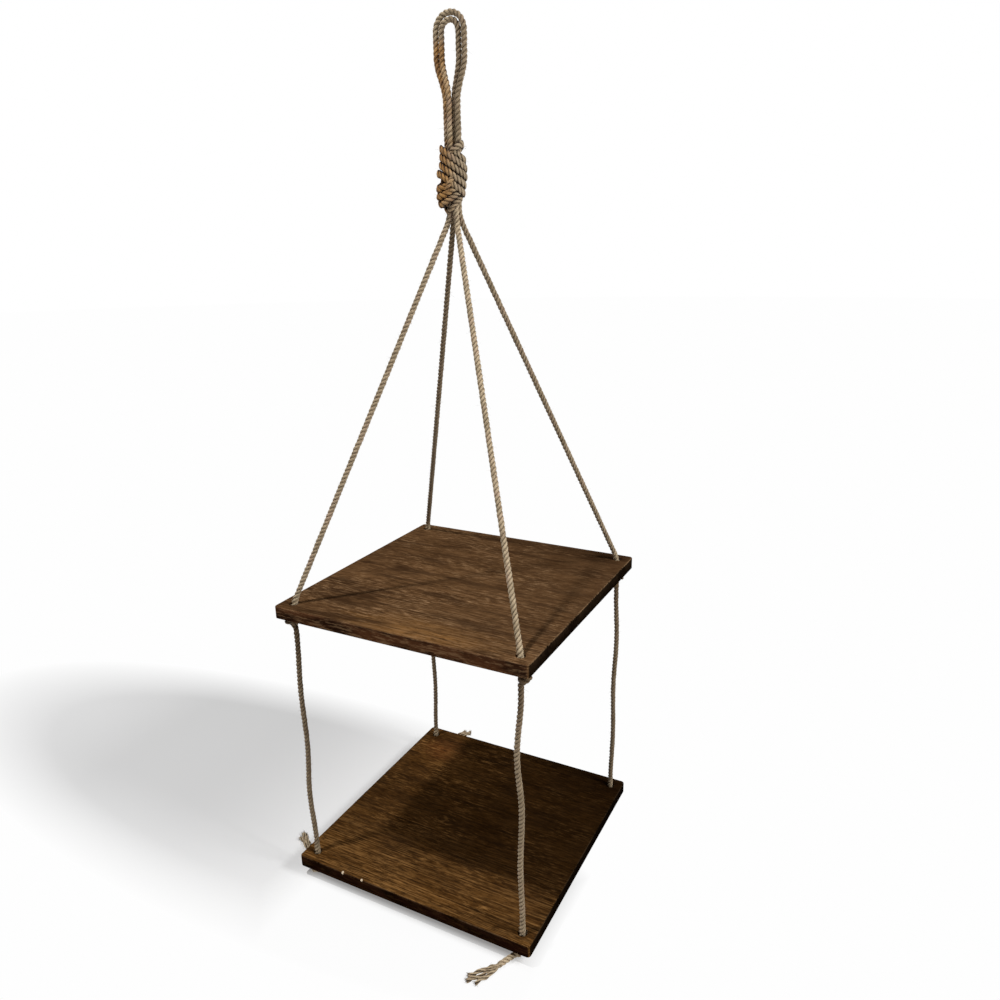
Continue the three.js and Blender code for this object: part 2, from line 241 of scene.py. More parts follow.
class Route:
    """A rope's centreline in even steps, with side directions that do not twist on their own."""

    def __init__(self, *parts):
        points = np.vstack(parts)
        apart = np.linalg.norm(np.diff(points, axis=0), axis=1) > SAME_PLACE
        points = points[np.concatenate([[True], apart])]
        count = max(3, round(lengths_along(points)[-1] / RING_STEP) + 1)
        self.points, self.along = spread_evenly(points, count)
        self.tangents = unit(np.gradient(self.points, axis=0))
        side = np.cross(self.tangents[0], SIDE_HINT)
        normals = []
        for tangent in self.tangents:
            side = side - tangent * (side @ tangent)
            side = side / np.linalg.norm(side)
            normals.append(side)
        self.normals = np.array(normals)
        self.binormals = np.cross(self.tangents, self.normals)
        self.lay = 2 * math.pi * self.along / LAY_LENGTH
        self.last = len(self.points) - 1
        self.fullness = np.ones(len(self.points))
        self.press = []

    def strand(self, number):
        """Where one strand's middle runs, and which way it lies from the rope's middle."""
        angle = self.lay + 2 * math.pi * number / STRANDS
        out = self.normals * np.cos(angle)[:, None] + self.binormals * np.sin(angle)[:, None]
        return self.points + out * (HELIX_RADIUS * self.fullness)[:, None], out

    def ring_near(self, point):
        return int(np.argmin(np.linalg.norm(self.points - np.array(point), axis=1)))

    def ring_below(self, height, after):
        """The first ring, from a given one on, that lies at a height or below it."""
        return after + int(np.where(self.points[after:, 2] <= height)[0][0])


# Meshes

# Between which places, in rope radii out from its middle, a pressed rope's shade clears
NEIGHBOUR_SHADE = (-0.3, 0.6)


class Shape:
    """Collects closed surfaces, with a fibre map and colour masks, for one mesh."""

    MASKS = ("crest", "gold", "pale", "dull_and_shade")

    def __init__(self):
        self.points = []
        self.faces = []
        self.fibre = []
        self.masks = {name: [] for name in self.MASKS}
        self.count = 0

    def tube(self, centres, across, up, radii, along, masks, sides=STRAND_SIDES, middles=None, press=()):
        """A closed tube. Its map's seam lies opposite to the across direction. Press holds directions
        and shares, one for each ring: the tube is squeezed or stretched that much about its middles."""
        rings = len(centres)
        angles = math.pi + 2 * math.pi * np.arange(sides) / sides
        cos, sin = np.cos(angles)[None, :, None], np.sin(angles)[None, :, None]
        out = across[:, None, :] * cos + up[:, None, :] * sin
        corners = centres[:, None, :] + out * radii[:, None, None]

        def off_along(direction):
            return np.sum((corners - middles[:, None, :]) * direction[:, None, :], axis=2)

        for direction, share in press:
            off = off_along(direction)
            corners = corners + (share[:, None] * off)[..., None] * direction[:, None, :]
        self.points.append(corners.reshape(-1, 3))
        ring, side = np.meshgrid(np.arange(rings - 1), np.arange(sides), indexing="ij")
        here, after = ring * sides + side, ring * sides + (side + 1) % sides
        quads = np.stack([here, after, after + sides, here + sides], axis=-1).reshape(-1, 4) + self.count
        self.faces.extend(quads.tolist())
        u0, u1 = along[ring], along[ring + 1]
        v0, v1 = side / sides, (side + 1) / sides
        self.fibre.append(np.stack([u0, v0, u0, v1, u1, v1, u1, v0], axis=-1).reshape(-1, 2))
        last_start = self.count + (rings - 1) * sides
        self.faces.append(list(range(self.count + sides - 1, self.count - 1, -1)))
        self.faces.append(list(range(last_start, last_start + sides)))
        self.fibre.append(np.full((2 * sides, 2), 0.5))
        # The crest mask paints light on a strand: 1 on its crest for a painted highlight, 0 in the groove
        # for painted shade, and less on a pressed turn's side that faces the knot's middle, as painted shade
        # where it lies against the ropes within
        crest = np.tile(0.5 - 0.5 * np.cos(angles - math.pi), (rings, 1))
        if len(press):
            crest = crest * fade(off_along(press[0][0]) / ROPE_RADIUS, *NEIGHBOUR_SHADE)
        self.masks["crest"].append(crest.ravel())
        for name in self.MASKS[1:]:
            self.masks[name].append(np.repeat(masks[name], sides))
        self.count += rings * sides

    def build(self, name, material):
        mesh = bpy.data.meshes.new(name)
        mesh.from_pydata(np.vstack(self.points).tolist(), [], self.faces)
        mesh.polygons.foreach_set("use_smooth", np.ones(len(mesh.polygons), bool))
        fibre = mesh.uv_layers.new(name="fibre")
        fibre.data.foreach_set("uv", np.vstack(self.fibre).ravel())
        for mask, values in self.masks.items():
            layer = mesh.attributes.new(mask, "FLOAT", "POINT")
            layer.data.foreach_set("value", np.concatenate(values))
        mesh.materials.append(material)
        return add_object(name, mesh)


# How the rope's colour changes from place to place: golden where it was warmed at the left of the
# knot and loop, and pale where it is frayed. The darkening mask is painted shade where the lower ropes
# hang under the upper board, and elsewhere a duller tone, which on the corners' ropes is partly
# painted shade, and which also darkens the knot towards the view's right and the tails.
# Each pair says between which places a share grows from 0 to 1.

VIEW_ACROSS = unit(np.array([CAMERA_RIGHT[0], CAMERA_RIGHT[1], 0.0]))
GOLD_ACROSS = (4.6 * MM, -9.4 * MM)
GOLD_ON_KNOT = ((KNOT_TOP + 6 * MM, KNOT_TOP - 2 * MM), (KNOT_BOTTOM - 12 * MM, KNOT_BOTTOM))
GOLD_ON_LEGS = ((-8 * MM, -20 * MM), (KNOT_TOP, KNOT_TOP + 24 * MM))
GOLD_LEG_SHARE = 0.85
RIGHT_ACROSS = (-1 * MM, 3 * MM)
OVER_KNOT = (KNOT_TOP, KNOT_TOP + 10 * MM)
LEG_DUSK = 0.5
KNOT_DUSK = (0.14, 0.16)
MOUTH_REACH = 15 * MM
LOW_MOUTH_PALE = 0.6
BOARD_SHADE_REACH = 100 * MM


def masks_at(points, corner=None):
    """The colour masks of a corner's rope, or else of the loop and the gathering knot."""
    height, across = points[:, 2], points @ VIEW_ACROSS
    if corner:
        above = height > UPPER_UNDER
        mouth = fade(height, UPPER_TOP + MOUTH_REACH, UPPER_TOP) * above
        low_mouth = fade(height, LOWER_TOP + MOUTH_REACH, LOWER_TOP) * ~above
        pale = np.maximum(mouth, LOW_MOUTH_PALE * low_mouth)
        upper_share, lower_share = CORNERS[corner]["dull_and_shade"]
        # Painted shade: the lower ropes grow darker towards the upper board's underside
        near_board = fade(height, UPPER_UNDER - BOARD_SHADE_REACH, UPPER_UNDER)
        dull_and_shade = np.where(above, upper_share, lower_share + (1 - lower_share) * near_board)
        return {"gold": np.zeros(len(points)), "pale": pale, "dull_and_shade": dull_and_shade * (1 - pale)}
    on_knot, on_legs = (fade(height, *top) * fade(height, *foot)
                        for top, foot in (GOLD_ON_KNOT, GOLD_ON_LEGS))
    gold = fade(across, *GOLD_ACROSS) * np.maximum(on_knot, GOLD_LEG_SHARE * on_legs)
    right, over = fade(across, *RIGHT_ACROSS), fade(height, *OVER_KNOT)
    dull_and_shade = LEG_DUSK * right * over + (KNOT_DUSK[0] + KNOT_DUSK[1] * right) * (1 - over)
    return {"gold": gold, "pale": np.zeros(len(points)), "dull_and_shade": dull_and_shade}


def uneven(count, reach, amount):
    """Slow random swelling along a strand."""
    knots = dice.normal(0, 1, count // reach + 3)
    return 1 + amount * np.interp(np.arange(count) / reach, np.arange(len(knots)), knots)


# Loose fibres: how thick they are at four shares of their length, how many stand off a rope, how far
# round its strand and forward each leans, how much it curls, and how deep it is rooted
FIBRE_SHARES = np.array([[0], [0.35], [0.7], [1]])
FIBRE_RADIUS = 0.045 * MM
HAIR_RADII = FIBRE_RADIUS * np.array([1.3, 1, 0.8, 0.3])
HAIR_LENGTH = 2.6 * MM
HAIRS_PER_RING = 1.1
HAIR_TURN = 0.9
HAIR_LEANS = (0.5, 1.6)
HAIR_CURL = 0.35
HAIR_SHARES = (0.4, 1.5)
HAIR_ROOT_SHARE = 0.8
HAIR_TILT = 0.3
HAIR_PALE = 0.6

# Tufts of them, and those round a hole's mouth
TUFT_RADII = 1.7 * FIBRE_RADIUS * np.array([1.3, 1.1, 0.9, 0.4])
TUFT_HINT = [0.4, 0.5, 0.77]
TUFT_TILT = 0.01
TUFT_SHARES = (0.5, 1.1)
TUFT_CURL = 0.12
MOUTH_TUFTS = 16
MOUTH_RINGS = 3
MOUTH_LEANS = (-0.2, 1.6)
MOUTH_ROOT_SHARE = 0.7


def draw_fibre(shape, root, reach, curl, aside, radii, masks):
    """One loose fibre: a thin spike with a bend, which stays above the floor."""
    spine = root + reach * FIBRE_SHARES + curl * FIBRE_SHARES ** 2
    spine[:, 2] = np.maximum(spine[:, 2], ROPE_FOOT + FIBRE_RADIUS)
    tangent = unit(np.gradient(spine, axis=0))
    side = unit(np.cross(tangent, aside))
    count = len(spine)
    masks = {name: np.full(count, value) for name, value in masks.items()}
    shape.tube(spine, side, np.cross(tangent, side), radii, np.full(count, 0.5), masks, sides=3)


def add_hairs(shape, centres, outs, ups, tangents, radii, masks):
    """Loose fibres that stand off a strand, rooted in it."""
    for _ in range(dice.poisson(HAIRS_PER_RING * len(centres) / STRANDS)):
        i = dice.integers(0, len(centres))
        angle = dice.normal(0, HAIR_TURN)
        out = outs[i] * math.cos(angle) + ups[i] * math.sin(angle)
        along = tangents[i] * dice.choice([-1, 1])
        start = unit(out + along * dice.uniform(*HAIR_LEANS))
        curl = dice.normal(0, HAIR_CURL, 3)
        length = HAIR_LENGTH * dice.uniform(*HAIR_SHARES)
        hair_masks = {name: values[i] for name, values in masks.items()}
        hair_masks["pale"] = max(hair_masks["pale"], HAIR_PALE)
        draw_fibre(shape, centres[i] + out * radii[i] * HAIR_ROOT_SHARE, start * length, curl * length,
                   along + HAIR_TILT * UP, HAIR_RADII, hair_masks)


def add_tuft(shape, root, direction, count, length, spread, width, pale):
    """Short loose fibres that stand in a brush round one direction."""
    side = unit(np.cross(direction, TUFT_HINT))
    other = np.cross(direction, side)
    for _ in range(count):
        turn, off = dice.uniform(0, 2 * math.pi), math.sqrt(dice.uniform(0, 1))
        away = side * math.cos(turn) + other * math.sin(turn)
        lean = unit(direction + away * spread * off * 2)
        reach = length * dice.uniform(*TUFT_SHARES)
        draw_fibre(shape, root + away * width * off, lean * reach, dice.normal(0, TUFT_CURL, 3) * reach,
                   away + TUFT_TILT, TUFT_RADII, {"gold": 0.0, "pale": pale, "dull_and_shade": 0.0})


def add_mouth_fibres(shape, route, height):
    """Fibres that the hole's edge has rubbed loose all round the rope."""
    ring = nearest(route.points[:, 2], height)
    for _ in range(MOUTH_TUFTS):
        near = ring + dice.integers(-MOUTH_RINGS, MOUTH_RINGS + 1)
        turn = dice.uniform(0, 2 * math.pi)
        out = route.normals[near] * math.cos(turn) + route.binormals[near] * math.sin(turn)
        lean = unit(out + UP * dice.uniform(*MOUTH_LEANS))
        root = route.points[near] + out * MOUTH_ROOT_SHARE * ROPE_RADIUS
        add_tuft(shape, root, lean, count=3, length=3.6 * MM, spread=0.4, width=0.5 * MM, pale=0.9)


def doubled_ends(values):
    return np.concatenate([values[:1], values, values[-1:]])


def draw_strand(shape, centres, out, radii, along, masks, hair_shape, middles=None, press=()):
    """One strand as a closed tube, with its ends tucked in, and its loose fibres."""
    tangents = unit(np.gradient(centres, axis=0))
    ups = unit(np.cross(tangents, out))
    outs = np.cross(ups, tangents)
    add_hairs(hair_shape, centres, outs, ups, tangents, radii, masks)
    centres, radii = doubled_ends(centres), doubled_ends(radii)
    centres[0] -= tangents[0] * TUCK_LENGTH
    centres[-1] += tangents[-1] * TUCK_LENGTH
    radii[[0, -1]] *= TUCK_SHARE
    middles = None if middles is None else doubled_ends(middles)
    press = [(doubled_ends(direction), doubled_ends(share)) for direction, share in press]
    masks = {name: doubled_ends(values) for name, values in masks.items()}
    shape.tube(centres, doubled_ends(outs), doubled_ends(ups), radii, doubled_ends(along), masks,
               middles=middles, press=press)


def lay_rope(shape, route, first=0, last=None, corner=None):
    """Three strands laid together, from ring first to ring last of a route."""
    rings = slice(first, None if last is None else last + 1)
    points = route.points[rings]
    masks = masks_at(points, corner)
    press = [(direction[rings], share[rings]) for direction, share in route.press]
    for number in range(STRANDS):
        swell = uneven(len(route.points), SWELL_REACH, STRAND_UNEVEN)[rings]
        centres, out = route.strand(number)
        radii = STRAND_RADIUS * route.fullness[rings] * swell
        draw_strand(shape, centres[rings], out[rings], radii, route.along[rings] + number, masks, shape,
                    points, press)


# How a tail comes apart: where its strands part, and for each strand how many millimetres it then lies
# to the side and above the rope's middle, where it ends, as a share of the tail, and which way it flares
# and its tip curls; then the waves that the twist leaves in the strands, and their yarns
PARTING_SHARE = 0.28
PARTING_LENGTH = 16 * MM
TAIL_FAN = [(-3.1, -0.6, 0.96, -1, 1), (0.2, -0.8, 1.0, 0, -1), (3.1, -0.7, 0.9, 1, 1)]
FLARE_START_SHARE = 0.45
FLARE_REACH = 2.2 * MM
NEAR_REACH = 2.9 * MM
WAVE = 0.6 * MM
WAVE_HEIGHT = 0.35 * WAVE
WAVE_LENGTH = 14 * MM
WAVE_SHIFT = 2.1
TIP_SHARE = 0.14
TIP_CURL = 0.8 * MM
TAIL_PUFF = 0.14
TAIL_SWELL_REACH = 7
TAIL_DUSK = 0.25
LOOSE_FROM_SHARE = 0.1
YARNS = 3
YARN_LAY = 24 * MM
YARN_UNEVEN = 0.1
LEAST_RINGS = 3
YARN_OFF_SHARE = 0.6
YARN_SHARE = 0.56
YARN_SINK = 0.9
YARN_PALE = (0.1, 0.6)
YARN_DUSK = (0, 0.5)


def part_of(masks, part):
    return {name: values[part] for name, values in masks.items()}


def draw_tail(shape, fluff, route, first, last, corner):
    """A rope's end on the floor: laid at first, then three wavy strands that spread, each of them
    loosened into yarns. Where a strand is far from the rope's middle, the rest of it belongs to the
    loose fibres' piece."""
    rings = slice(first, last + 1)
    points, tangents = route.points[rings], route.tangents[rings]
    along = route.along[rings] - route.along[first]
    share = along / along[-1]
    parted = smooth((along - PARTING_SHARE * along[-1]) / PARTING_LENGTH)
    flare = FLARE_REACH * fade(share, FLARE_START_SHARE, 1)
    fan = CORNERS[corner]["fan_share"]
    sideways = unit(np.cross(UP, tangents))
    split = int(np.argmax(parted > LOOSE_FROM_SHARE))
    for number, (aside, above, end_share, flare_side, curl_side) in enumerate(TAIL_FAN):
        laid, out = (values[rings] for values in route.strand(number))
        fibre = route.along[rings] + number
        phase = 2 * math.pi * along / WAVE_LENGTH + WAVE_SHIFT * number
        near_tip = fade(share, end_share - TIP_SHARE, end_share)
        side_off = fan * (aside * MM + flare_side * flare)
        side_off = side_off + WAVE * np.sin(phase) + near_tip * TIP_CURL * curl_side
        high_off = above * MM + WAVE_HEIGHT * (1 + np.cos(phase))
        free = points + sideways * side_off[:, None] + UP * high_off[:, None]
        centres = laid + (free - laid) * parted[:, None]
        out = unit(out + (UP - out) * parted[:, None])
        up = unit(np.cross(tangents, out))
        swell = uneven(len(points), TAIL_SWELL_REACH, STRAND_UNEVEN)
        radii = STRAND_RADIUS * (route.fullness[rings] + TAIL_PUFF * parted) * swell
        stop = int(np.sum(share <= end_share))
        far = np.where(np.abs(side_off) * parted > NEAR_REACH)[0]
        cut = min([stop] + far.tolist())
        masks = masks_at(points, corner)
        masks["dull_and_shade"] = TAIL_DUSK * (1 - masks["pale"])
        part = slice(0, split + 2)
        draw_strand(shape, centres[part], out[part], radii[part], fibre[part], part_of(masks, part), fluff)
        for yarn in range(YARNS):
            turn = 2 * math.pi * (along / YARN_LAY + yarn / YARNS + dice.uniform(0, YARN_UNEVEN))
            yarn_out = out * np.cos(turn)[:, None] + up * np.sin(turn)[:, None]
            yarn_centres = centres + yarn_out * (radii * YARN_OFF_SHARE * parted)[:, None]
            yarn_radii = radii * (1 - (1 - YARN_SHARE) * parted)
            yarn_floor = ROPE_FOOT + YARN_SINK * yarn_radii
            yarn_centres[:, 2] = np.maximum(yarn_centres[:, 2], yarn_floor)
            masks["pale"] = parted * dice.uniform(*YARN_PALE)
            masks["dull_and_shade"] = TAIL_DUSK * (1 - parted) + parted * dice.uniform(*YARN_DUSK)
            for piece_shape, start, end in ((shape, split, cut), (fluff, cut - 1, stop)):
                if end - start >= LEAST_RINGS:
                    part = slice(start, end)
                    draw_strand(piece_shape, yarn_centres[part], yarn_out[part], yarn_radii[part],
                                fibre[part] + yarn / YARNS, part_of(masks, part), fluff)
        tip = centres[stop - 1]
        direction = unit(tip - centres[stop - 3])
        add_tuft(fluff, tip - direction * MM, direction, count=40, length=3.6 * MM, spread=0.5,
                 width=radii[stop - 1], pale=0.5)


# Materials

class Nodes:
    """Adds nodes to one tree. Their inputs are other nodes' outputs, which it links, or plain values."""

    def __init__(self, tree):
        self.tree = tree

    def fill(self, node, values):
        for key, value in values.items():
            if isinstance(value, bpy.types.NodeSocket):
                self.tree.links.new(value, node.inputs[key])
            else:
                node.inputs[key].default_value = value
        return node

    def add(self, kind, *values, named=None, **settings):
        made = self.tree.nodes.new(f"ShaderNode{kind}")
        for key, value in settings.items():
            setattr(made, key, value)
        return self.fill(made, named or dict(enumerate(values)))

    def maths(self, operation, *values, **settings):
        return self.add("Math", *values, operation=operation, **settings).outputs[0]

    def times(self, first, second, plus=0.0):
        return self.maths("MULTIPLY_ADD", first, second, plus)

    def vector(self, operation, *values, output="Vector"):
        return self.add("VectorMath", *values, operation=operation).outputs[output]

    def mix(self, share, first, second):
        return self.add("Mix", named={0: share, 6: first, 7: second}, data_type="RGBA").outputs[2]

    def noise(self, place, scale, detail=2.0, roughness=0.5):
        values = {"Vector": place, "Scale": scale, "Detail": detail, "Roughness": roughness}
        return self.add("TexNoise", named=values).outputs["Fac"]

    def ranged(self, value, low, high, new_low=0.0, new_high=1.0):
        return self.add("MapRange", value, low, high, new_low, new_high).outputs[0]

    def attribute(self, name):
        return self.add("Attribute", attribute_name=name).outputs["Fac"]

    def place(self):
        return self.add("TexCoord").outputs["Object"]

    def bump(self, height, strength, distance):
        values = {"Height": height, "Strength": strength, "Distance": distance}
        return self.add("Bump", named=values).outputs[0]

    def show(self, share, plain, white, output):
        """Puts the white shader over the plain one, by a share, where a ray sees it directly."""
        rays = self.add("LightPath").outputs
        seen = self.maths("MAXIMUM", rays["Is Camera Ray"], rays["Is Glossy Ray"])
        seen = self.maths("MAXIMUM", seen, rays["Is Transmission Ray"])
        mixed = self.add("MixShader", self.times(seen, share), plain.outputs[0], white.outputs[0])
        self.fill(self.tree.nodes[output], {"Surface": mixed.outputs[0]})


def colour(red, green, blue):
    """A linear colour from the display values 0 to 255."""
    values = [c / 255 for c in (red, green, blue)]
    return [v / 12.92 if v <= 0.04045 else ((v + 0.055) / 1.055) ** 2.4 for v in values] + [1.0]


def new_material(name):
    """A material, what adds its nodes, and its shader."""
    material = bpy.data.materials.new(name)
    material.use_nodes = True
    return material, Nodes(material.node_tree), material.node_tree.nodes["Principled BSDF"]


# The rope's colours: painted shade in the grooves between strands, the colour on them, and a painted
# highlight on their crests
FRESH_TONES = ((52, 35, 22), (156, 129, 94), (222, 203, 172))
ROSY_TONES = ((58, 35, 27), (162, 127, 100), (222, 194, 170))
AGED_TONES = ((38, 28, 19), (114, 95, 68), (178, 161, 130))
GOLD_TONES = ((46, 20, 2), (160, 100, 36), (222, 174, 106))
DEEP_GOLD_TONES = ((28, 11, 1), (100, 58, 18), (162, 112, 58))
# Darker, duller tones: partly the rope's own, partly painted shade
DULL_AND_SHADE_TONES = ((54, 41, 28), (90, 70, 50), (122, 102, 76))
PALE_TONES = ((70, 50, 32), (178, 152, 114), (226, 208, 176))
FLECK_COLOUR = colour(84, 60, 40)
FIBRE_TURN = 15 * MM
STREAKS_ALONG, STREAKS_AROUND = 60.0, 9.0


def rope_material():
    material, nodes, shader = new_material("twisted_jute")
    mix, ranged, times = nodes.mix, nodes.ranged, nodes.times
    fibre = nodes.add("UVMap", uv_map="fibre").outputs[0]
    along, around, _ = nodes.add("SeparateXYZ", fibre).outputs
    turned = times(along, -1 / FIBRE_TURN, around)
    streaked = nodes.add("CombineXYZ", times(along, STREAKS_ALONG), times(turned, STREAKS_AROUND))
    streaks = nodes.noise(streaked.outputs[0], 2.2, 3.0, 0.65)
    place = nodes.place()
    blotches = nodes.noise(place, 60.0, 3.0)
    tints = nodes.noise(place, 110.0)
    flecks = nodes.noise(place, 420.0)
    # Painted light and shade: darker in the grooves, lighter on the crests
    lit = ranged(nodes.attribute("crest"), 0.38, 1.0)
    crested = times(times(lit, ranged(streaks, 0.25, 0.6, 0.45, 1.0)), 0.8)

    def rope_colour(tones):
        groove, body, crest = (colour(*tone) for tone in tones)
        return mix(crested, mix(lit, groove, body), crest)

    gilded = times(nodes.attribute("gold"), ranged(blotches, 0.36, 0.52, 0.4, 1.0))
    gold = mix(ranged(tints, 0.44, 0.58, 0, 0.85), rope_colour(GOLD_TONES), rope_colour(DEEP_GOLD_TONES))
    # Every colour that lies over the fresh rope's, and how much of it
    tone = rope_colour(FRESH_TONES)
    for share, over in (
        (ranged(tints, 0.52, 0.66, 0, 0.6), rope_colour(ROSY_TONES)),
        (ranged(blotches, 0.46, 0.68, 0, 0.6), rope_colour(AGED_TONES)),
        (ranged(flecks, 0.58, 0.72, 0, 0.55), FLECK_COLOUR),
        (gilded, gold),
        (nodes.attribute("dull_and_shade"), rope_colour(DULL_AND_SHADE_TONES)),
        (times(nodes.attribute("pale"), 0.8), rope_colour(PALE_TONES)),
    ):
        tone = mix(share, tone, over)
    nodes.fill(shader, {"Base Color": tone, "Roughness": 0.9, "Specular IOR Level": 0.15,
                        "Sheen Weight": 0.1, "Normal": nodes.bump(streaks, 0.7, 0.4 * MM)})
    return material


PORE_COLOUR = colour(34, 20, 8)
# End grain's own dark stain, made darker still as painted shade that keeps the end faces dark under the side
# lamp
END_TONES = (colour(5, 3, 2), colour(17, 11, 7))
WORN_COLOUR = colour(140, 110, 80)
CHIP_COLOUR = colour(226, 206, 178)
EYE_PULL = 0.75
PATTERN_SHIFT_X, PATTERN_SHIFT_Z = 7.3, 3.1


def wood_material(name, look):
    """Stained wood with the grain along X, which flows round one small knot in the wood."""
    dark, middle, light, streak_tone, side_dark, side_light = (colour(*tone) for tone in look["tones"])
    start = look["start"]
    material, nodes, shader = new_material(name)
    mix, ranged, times, maths = nodes.mix, nodes.ranged, nodes.times, nodes.maths
    place = nodes.place()
    x, y, z = nodes.add("SeparateXYZ", place).outputs

    def distance_from(middle_place, reach):
        off = nodes.vector("DIVIDE", nodes.vector("SUBTRACT", place, middle_place), reach)
        return nodes.vector("LENGTH", off, output="Value")

    eye_place, eye_reach, eye_share = look["eye"]
    eye_far = distance_from(eye_place, eye_reach)
    eye_near = maths("EXPONENT", times(times(eye_far, eye_far), -1))
    grain_y = times(maths("SUBTRACT", y, eye_place[1]), times(eye_near, -EYE_PULL, 1.0))

    # Patterns that are stretched along the grain
    def grain(number, along_scale, across_scale, detail, roughness):
        stretched = nodes.add("CombineXYZ", times(x, along_scale, start + PATTERN_SHIFT_X * number),
                              times(grain_y, across_scale, start),
                              times(z, across_scale, PATTERN_SHIFT_Z * number))
        return nodes.noise(stretched.outputs[0], 1.0, detail, roughness)

    clouds = grain(1, 7.0, 14.0, 3.0, 0.55)
    patches = grain(2, 26.0, 85.0, 3.0, 0.6)
    short = grain(3, 95.0, 640.0, 3.0, 0.65)
    long = grain(4, 6.0, 330.0, 3.0, 0.6)
    fine = grain(5, 150.0, 1700.0, 2.0, 0.6)
    where = grain(6, 16.0, 30.0, 2.0, 0.5)
    stripes = grain(8, 8.0, 640.0, 2.0, 0.6)
    bands = grain(9, 10.0, 55.0, 3.0, 0.6)
    depth = 0.0
    for pattern, share in ((clouds, 0.55), (patches, 0.45), (short, 0.3), (long, 0.25)):
        depth = times(pattern, share, depth)
    ramp = nodes.add("ValToRGB", ranged(depth, 0.5, 1.05))
    stops = ramp.color_ramp.elements
    stops.new(0.5)
    for stop, tone in zip(stops, (dark, middle, light)):
        stop.color = tone

    # A painted pool of light: a warm, lighter patch on the board's top
    glow_place, glow_reach, glow_colour = look["painted_light_patch"]
    glow_far = times(patches, 1.2, distance_from(glow_place, glow_reach))
    streaks = times(ranged(short, 0.53, 0.68), ranged(where, 0.42, 0.6, 0.2, 1.0))
    in_front = ranged(times(clouds, -0.12, y), -0.085, -0.15, 0.12, 1)
    striped = times(times(ranged(stripes, 0.5, 0.64), in_front), look["stripes"])
    striped = times(striped, ranged(short, 0.35, 0.55, 0.5, 1))
    across = maths("ABSOLUTE", times(clouds, 0.05, y))
    on_end, on_side = (ranged(maths("ABSOLUTE", value), BOARD_HALF - MM, BOARD_HALF - 0.3 * MM)
                       for value in (x, y))
    mottle = ranged(nodes.noise(place, 240.0, 3.0, 0.6), 0.4, 0.65)
    side_tone = mix(ranged(patches, 0.4, 0.6), side_dark, side_light)
    side_tone = mix(ranged(short, 0.5, 0.62, 0, look["side_streaks"]), side_tone, streak_tone)
    wear = times(nodes.noise(place, 420.0, 2.0, 0.6), 0.45, times(nodes.noise(place, 36.0), 0.55))
    worn = maths("MULTIPLY", nodes.attribute("arris"), ranged(wear, 0.4, 0.58), use_clamp=True)
    # Every colour that lies over the wood's tone, and how much of it
    tone = ramp.outputs[0]
    for share, over in (
        (ranged(glow_far, 1.5, 0.7, 0, 0.6), colour(*glow_colour)),
        (streaks, streak_tone),
        (striped, streak_tone),
        (ranged(long, 0.46, 0.36, 0, 0.45), dark),
        (ranged(short, 0.47, 0.36, 0, 0.6), dark),
        (ranged(bands, 0.53, 0.64, 0, look["bands"]), dark),
        (ranged(bands, 0.44, 0.36, 0, look["bands"] / 2), light),
        # Painted shade: darker towards the back right corner, and across the middle of the board
        (ranged(maths("ADD", x, y), -0.02, 0.24, 0, look["aside"]), dark),
        (ranged(across, 0.1, 0.05, 0, look["middle_shade"]), dark),
        (ranged(eye_far, 0.8, 0.1, 0, eye_share), dark),
        (ranged(fine, 0.56, 0.7, 0, 0.5), PORE_COLOUR),
        (times(on_end, 0.97), mix(mottle, *END_TONES)),
        (times(on_side, 0.98), side_tone),
        (times(worn, 0.7), WORN_COLOUR),
        (ranged(nodes.attribute("chip"), 0.3, 0.75), CHIP_COLOUR),
    ):
        tone = mix(share, tone, over)
    relief = times(long, 0.5, times(short, 0.5, times(fine, 0.3)))
    nodes.fill(shader, {"Base Color": tone, "Roughness": ranged(short, 0.3, 0.7, 0.5, 0.66),
                        "Specular IOR Level": 0.0, "Normal": nodes.bump(relief, 0.4, 0.35 * MM)})
    return material


# Each board's look: its tones (dark, middle and light wood, streaks, dark and light side faces), where
# its pattern starts, how strong its bands, its front strip's stripes, its middle's painted shade, its
# back right corner's painted shade and its side faces' streaks are, and the place, reach and colour of
# a painted pool of light and the place, reach and strength of its wood's knot
UPPER_LOOK = {
    "tones": ((52, 34, 20), (87, 61, 37), (113, 82, 53), (154, 121, 87), (38, 20, 12), (82, 50, 30)),
    "start": 3.7, "bands": 0.7, "stripes": 0.4, "middle_shade": 0.0, "aside": 0.55, "side_streaks": 0.4,
    "painted_light_patch": ((0.02, -0.125, UPPER_TOP), (0.1, 0.03, 0.05), (150, 106, 58)),
    "eye": ((-0.081, 0.001, UPPER_TOP), (0.022, 0.012, 0.05), 0.8),
}
LOWER_LOOK = {
    "tones": ((30, 17, 7), (79, 51, 22), (114, 77, 36), (150, 109, 62), (12, 4, 2), (32, 13, 8)),
    "start": 11.2, "bands": 0.3, "stripes": 0.8, "middle_shade": 0.4, "aside": 0.75, "side_streaks": 0.05,
    "painted_light_patch": ((-0.1, 0.1, LOWER_TOP), (0.04, 0.035, 0.05), (112, 66, 32)),
    "eye": ((-0.03, -0.02, LOWER_TOP), (0.02, 0.01, 0.05), 0.3),
}
ROPE = rope_material()
UPPER_WOOD = wood_material("upper_board_wood", UPPER_LOOK)
LOWER_WOOD = wood_material("lower_board_wood", LOWER_LOOK)


# Stop knots: an overhand knot, drawn tight step by step, in millimetres

